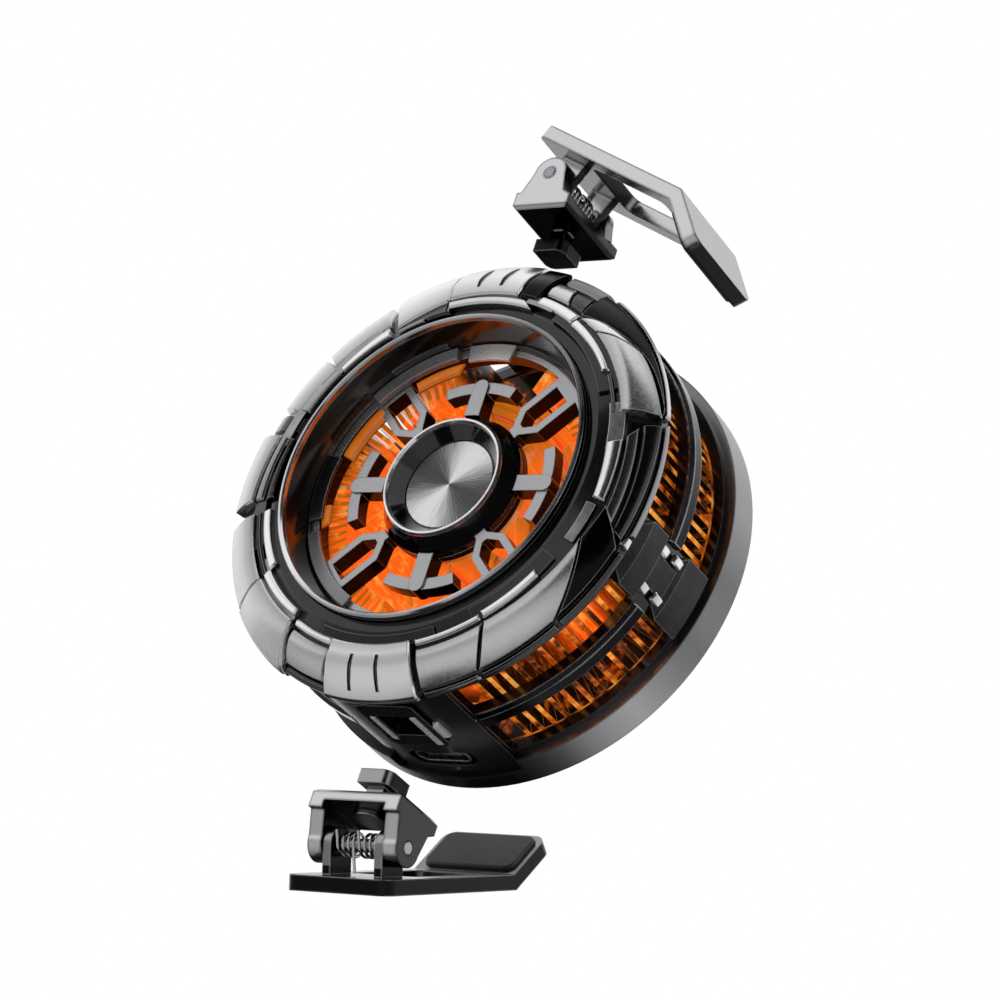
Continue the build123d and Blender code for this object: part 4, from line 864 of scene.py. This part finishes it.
for node, table in armour.items():
    addFacets(node + "_facets", "bezel", table, (node,))
addFacets("strut_corners", "frame", strutFacets)
addFacets("dish_steps", "dish", dishSteps)
addFacets("wall_bands", "wall", wallBands)
print("armour facets on", len(armour), "plates, with strut corners, dish steps and wall bands")


# Fan: a cup with swept blades, each a thin shell over radius and chord

# hub and tip are radii, rear and front depths, chord and sweep degrees. The sweep grows with the
# radius to the power of bend, and the camber falls by a share of flatten towards the tip.
fan = {
    "blades": 11, "hub": 10.2, "tip": 17.3, "chord": 31.0, "sweep": 16.0, "bend": 1.3,
    "rear": 13.6, "front": 22.0, "camber": 0.9, "flatten": 0.4, "thickness": 0.7,
    "radiusSteps": 14, "chordSteps": 18, "turnSteps": 144, "sharp": 35,
    "cup": (
        (1.0, 21.7), (9.6, 21.7), (9.6, 12.4), (10.4, 12.4), (10.4, 22.1), (10.0, 22.5),
        (1.0, 22.5),
    ),
}


def turned(outline, steps):
    # a closed outline of radius and depth carried round the axis: x is the radius times the cosine
    # of the turn, z the radius times its sine and y minus the depth
    turn = np.linspace(0, 2 * np.pi, steps, endpoint=False)[:, None]
    radius, depth = np.array(outline).T
    points = np.stack((radius * np.cos(turn), -depth + 0 * turn, radius * np.sin(turn)), -1) * mm
    count = len(outline)
    i, j = np.meshgrid(np.arange(steps), np.arange(count), indexing="ij")
    here, after, beside = i * count, (i + 1) % steps * count, (j + 1) % count
    faces = np.stack((here + j, after + j, after + beside, here + beside), -1)
    return points.reshape(-1, 3), faces.reshape(-1, 4)


def bladeShell(start, offset):
    # r runs from hub to tip and w across the chord, both 0 to 1. The angle is the start plus the
    # sweep by r and the chord by w. The depth runs from rear to front with half a sine wave of
    # camber, and the two sides stand half a thickness apart from it, thinner at w = 0 and w = 1.
    rows, columns = fan["radiusSteps"], fan["chordSteps"]
    r = np.linspace(0, 1, rows)[:, None]
    w = np.linspace(0, 1, columns)[None, :]
    radius = fan["hub"] + (fan["tip"] - fan["hub"]) * r + 0 * w
    angle = np.radians(start + fan["sweep"] * r ** fan["bend"] + fan["chord"] * (w - 0.5))
    camber = fan["camber"] * np.sin(np.pi * w) * (1 - fan["flatten"] * r)
    depth = fan["rear"] + (fan["front"] - fan["rear"]) * w + camber
    half = fan["thickness"] / 2 * np.sqrt(np.clip(1 - (2 * w - 1) ** 6, 0.05, 1))
    x, z = radius * np.cos(angle), radius * np.sin(angle)
    sides = np.stack([np.stack((x, -(depth + side * half), z), -1) for side in (1, -1)]) * mm
    size = rows * columns
    front = gridFaces(rows, columns, offset)
    back = gridFaces(rows, columns, offset + size)[:, ::-1]
    index = offset + np.arange(size).reshape(rows, columns)
    rim = np.concatenate((index[:, 0], index[-1, 1:], index[-2::-1, -1], index[0, -2:0:-1]))
    after = np.roll(rim, -1)
    walls = np.stack((rim, rim + size, after + size, after), -1)
    return sides.reshape(-1, 3), np.concatenate((front, back, walls))


def makeFan():
    # the cup and all its blades in one mesh, in the place of the solid fan
    cup, cupFaces = turned(fan["cup"], fan["turnSteps"])
    points, faces = [cup], [cupFaces]
    for blade in range(fan["blades"]):
        offset = sum(len(part) for part in points)
        shell, shellFaces = bladeShell(blade * 360 / fan["blades"], offset)
        points.append(shell)
        faces.append(shellFaces)
    addPiece(
        "fan_blades", np.concatenate(points), np.concatenate(faces).tolist(),
        [materials["rotor_orange"]], "fan", ("fan_rotor",), sharp=fan["sharp"],
    )


makeFan()
print("fan with", fan["blades"], "blades")


# Camera, fitted to the round edges and clip corners of the photographed object

view = {
    "place": (278.66, -363.92, -203.89),
    "right": (0.82503, 0.49117, 0.27942),
    "up": (0.00943, -0.50638, 0.86226),
    "back": (0.56501, -0.70876, -0.42241),
    "lens": 123.84,
    "sensor": 36.0,
    "nearest": 0.01,
}


def addCamera():
    # the fitted axes are the camera's own: right, up and back from what it looks at
    data = bpy.data.cameras.new("photo camera")
    data.lens = view["lens"]
    data.sensor_width = view["sensor"]
    data.sensor_fit = "HORIZONTAL"
    data.clip_start = view["nearest"]
    camera = bpy.data.objects.new("photo camera", data)
    bpy.context.scene.collection.objects.link(camera)
    axes = Matrix((view["right"], view["up"], view["back"])).transposed()
    camera.matrix_world = Matrix.Translation(Vector(view["place"]) * mm) @ axes.to_4x4()
    bpy.context.scene.camera = camera


# Studio: sizes and places in metres, lamps in watts. Cards are black boards that polished metal
# mirrors, each with its direction from the object and its distance.

studio = {
    "floor": {"drop": 0.32, "side": 20.0, "colour": "#f2f2f3"},
    "cardColour": "#050505",
    "paperRough": 0.7,
    "world": 0.5,
    "lamps": [
        ("key softbox", (-0.35, -0.45, 0.55), (0.4, 0.3), 1.8),
        ("front fill", (0.5, -0.6, 0.1), (0.25, 0.4), 0.5),
        ("rim strip", (0.45, 0.3, 0.4), (0.1, 0.5), 0.8),
    ],
    "cards": [
        ("card front right", (0.36, -0.78, 0.36), 0.5, (0.42, 0.62)),
        ("card below", (-0.50, 0.66, -0.54), 0.34, (0.44, 0.36)),
        ("card under front", (0.1, -0.2, -1.0), 0.27, (0.30, 0.24)),
    ],
}


def plainStage(name, colour):
    # matte paper or card in one colour
    material, tree, output = newMaterial(name)
    shader = addNode(
        tree, "ShaderNodeBsdfPrincipled",
        {"Base Color": linear(colour), "Roughness": studio["paperRough"]},
    )
    tree.links.new(shader.outputs["BSDF"], output)
    return material


def placed(centre, toward):
    # the matrix that sets something at a point, its Z towards a direction
    return Matrix.Translation(centre) @ toward.to_track_quat("Z", "Y").to_matrix().to_4x4()


def addSheet(name, centre, toward, width, height, material):
    # a flat rectangle whose face looks along one direction
    mesh = bpy.data.meshes.new(name)
    half = np.array([[-1, -1], [1, -1], [1, 1], [-1, 1]]) * (width / 2, height / 2)
    mesh.from_pydata([(x, y, 0) for x, y in half], [], [(0, 1, 2, 3)])
    mesh.materials.append(material)
    item = bpy.data.objects.new(name, mesh)
    item.matrix_world = placed(centre, toward)
    bpy.context.scene.collection.objects.link(item)
    return item


def addLamp(name, place, size, power):
    # a soft white lamp that looks at the origin and isn't mirrored itself
    data = bpy.data.lights.new(name, "AREA")
    data.shape = "RECTANGLE"
    data.size, data.size_y = size
    data.energy = power
    lamp = bpy.data.objects.new(name, data)
    lamp.visible_glossy = False
    lamp.matrix_world = placed(Vector(place), Vector(place))
    bpy.context.scene.collection.objects.link(lamp)


def addStudio():
    floor = studio["floor"]
    addSheet(
        "floor", Vector((0, 0, -floor["drop"])), Vector((0, 0, 1)), floor["side"], floor["side"],
        plainStage("pale floor paper", floor["colour"]),
    )
    dark = plainStage("black card", studio["cardColour"])
    for name, direction, distance, size in studio["cards"]:
        way = Vector(direction).normalized()
        card = addSheet(name, way * distance, -way, size[0], size[1], dark)
        # only polished surfaces see the cards
        card.visible_camera = False
        card.visible_shadow = False
        card.visible_diffuse = False
    for name, place, size, power in studio["lamps"]:
        addLamp(name, place, size, power)
    # the world is plain white wherever it is seen, mirrored or looked at through something, and
    # weaker as a light
    world = bpy.data.worlds.new("white studio")
    bpy.context.scene.world = world
    world.use_nodes = True
    tree = world.node_tree
    tree.nodes.clear()
    path = addNode(tree, "ShaderNodeLightPath").outputs
    seen = path["Is Camera Ray"]
    for ray in ("Is Glossy Ray", "Is Transmission Ray"):
        seen = addNode(
            tree, "ShaderNodeMath", {0: seen, 1: path[ray]}, operation="MAXIMUM",
        ).outputs[0]
    strength = addNode(
        tree, "ShaderNodeMapRange", {"Value": seen, "To Min": studio["world"], "To Max": 1.0},
    ).outputs["Result"]
    glow = addNode(tree, "ShaderNodeBackground", {"Strength": strength, "Color": (1, 1, 1, 1)})
    tree.links.new(glow.outputs[0], addNode(tree, "ShaderNodeOutputWorld").inputs["Surface"])
    bpy.context.scene.view_settings.view_transform = "Standard"


addCamera()
addStudio()
print("camera and studio set")
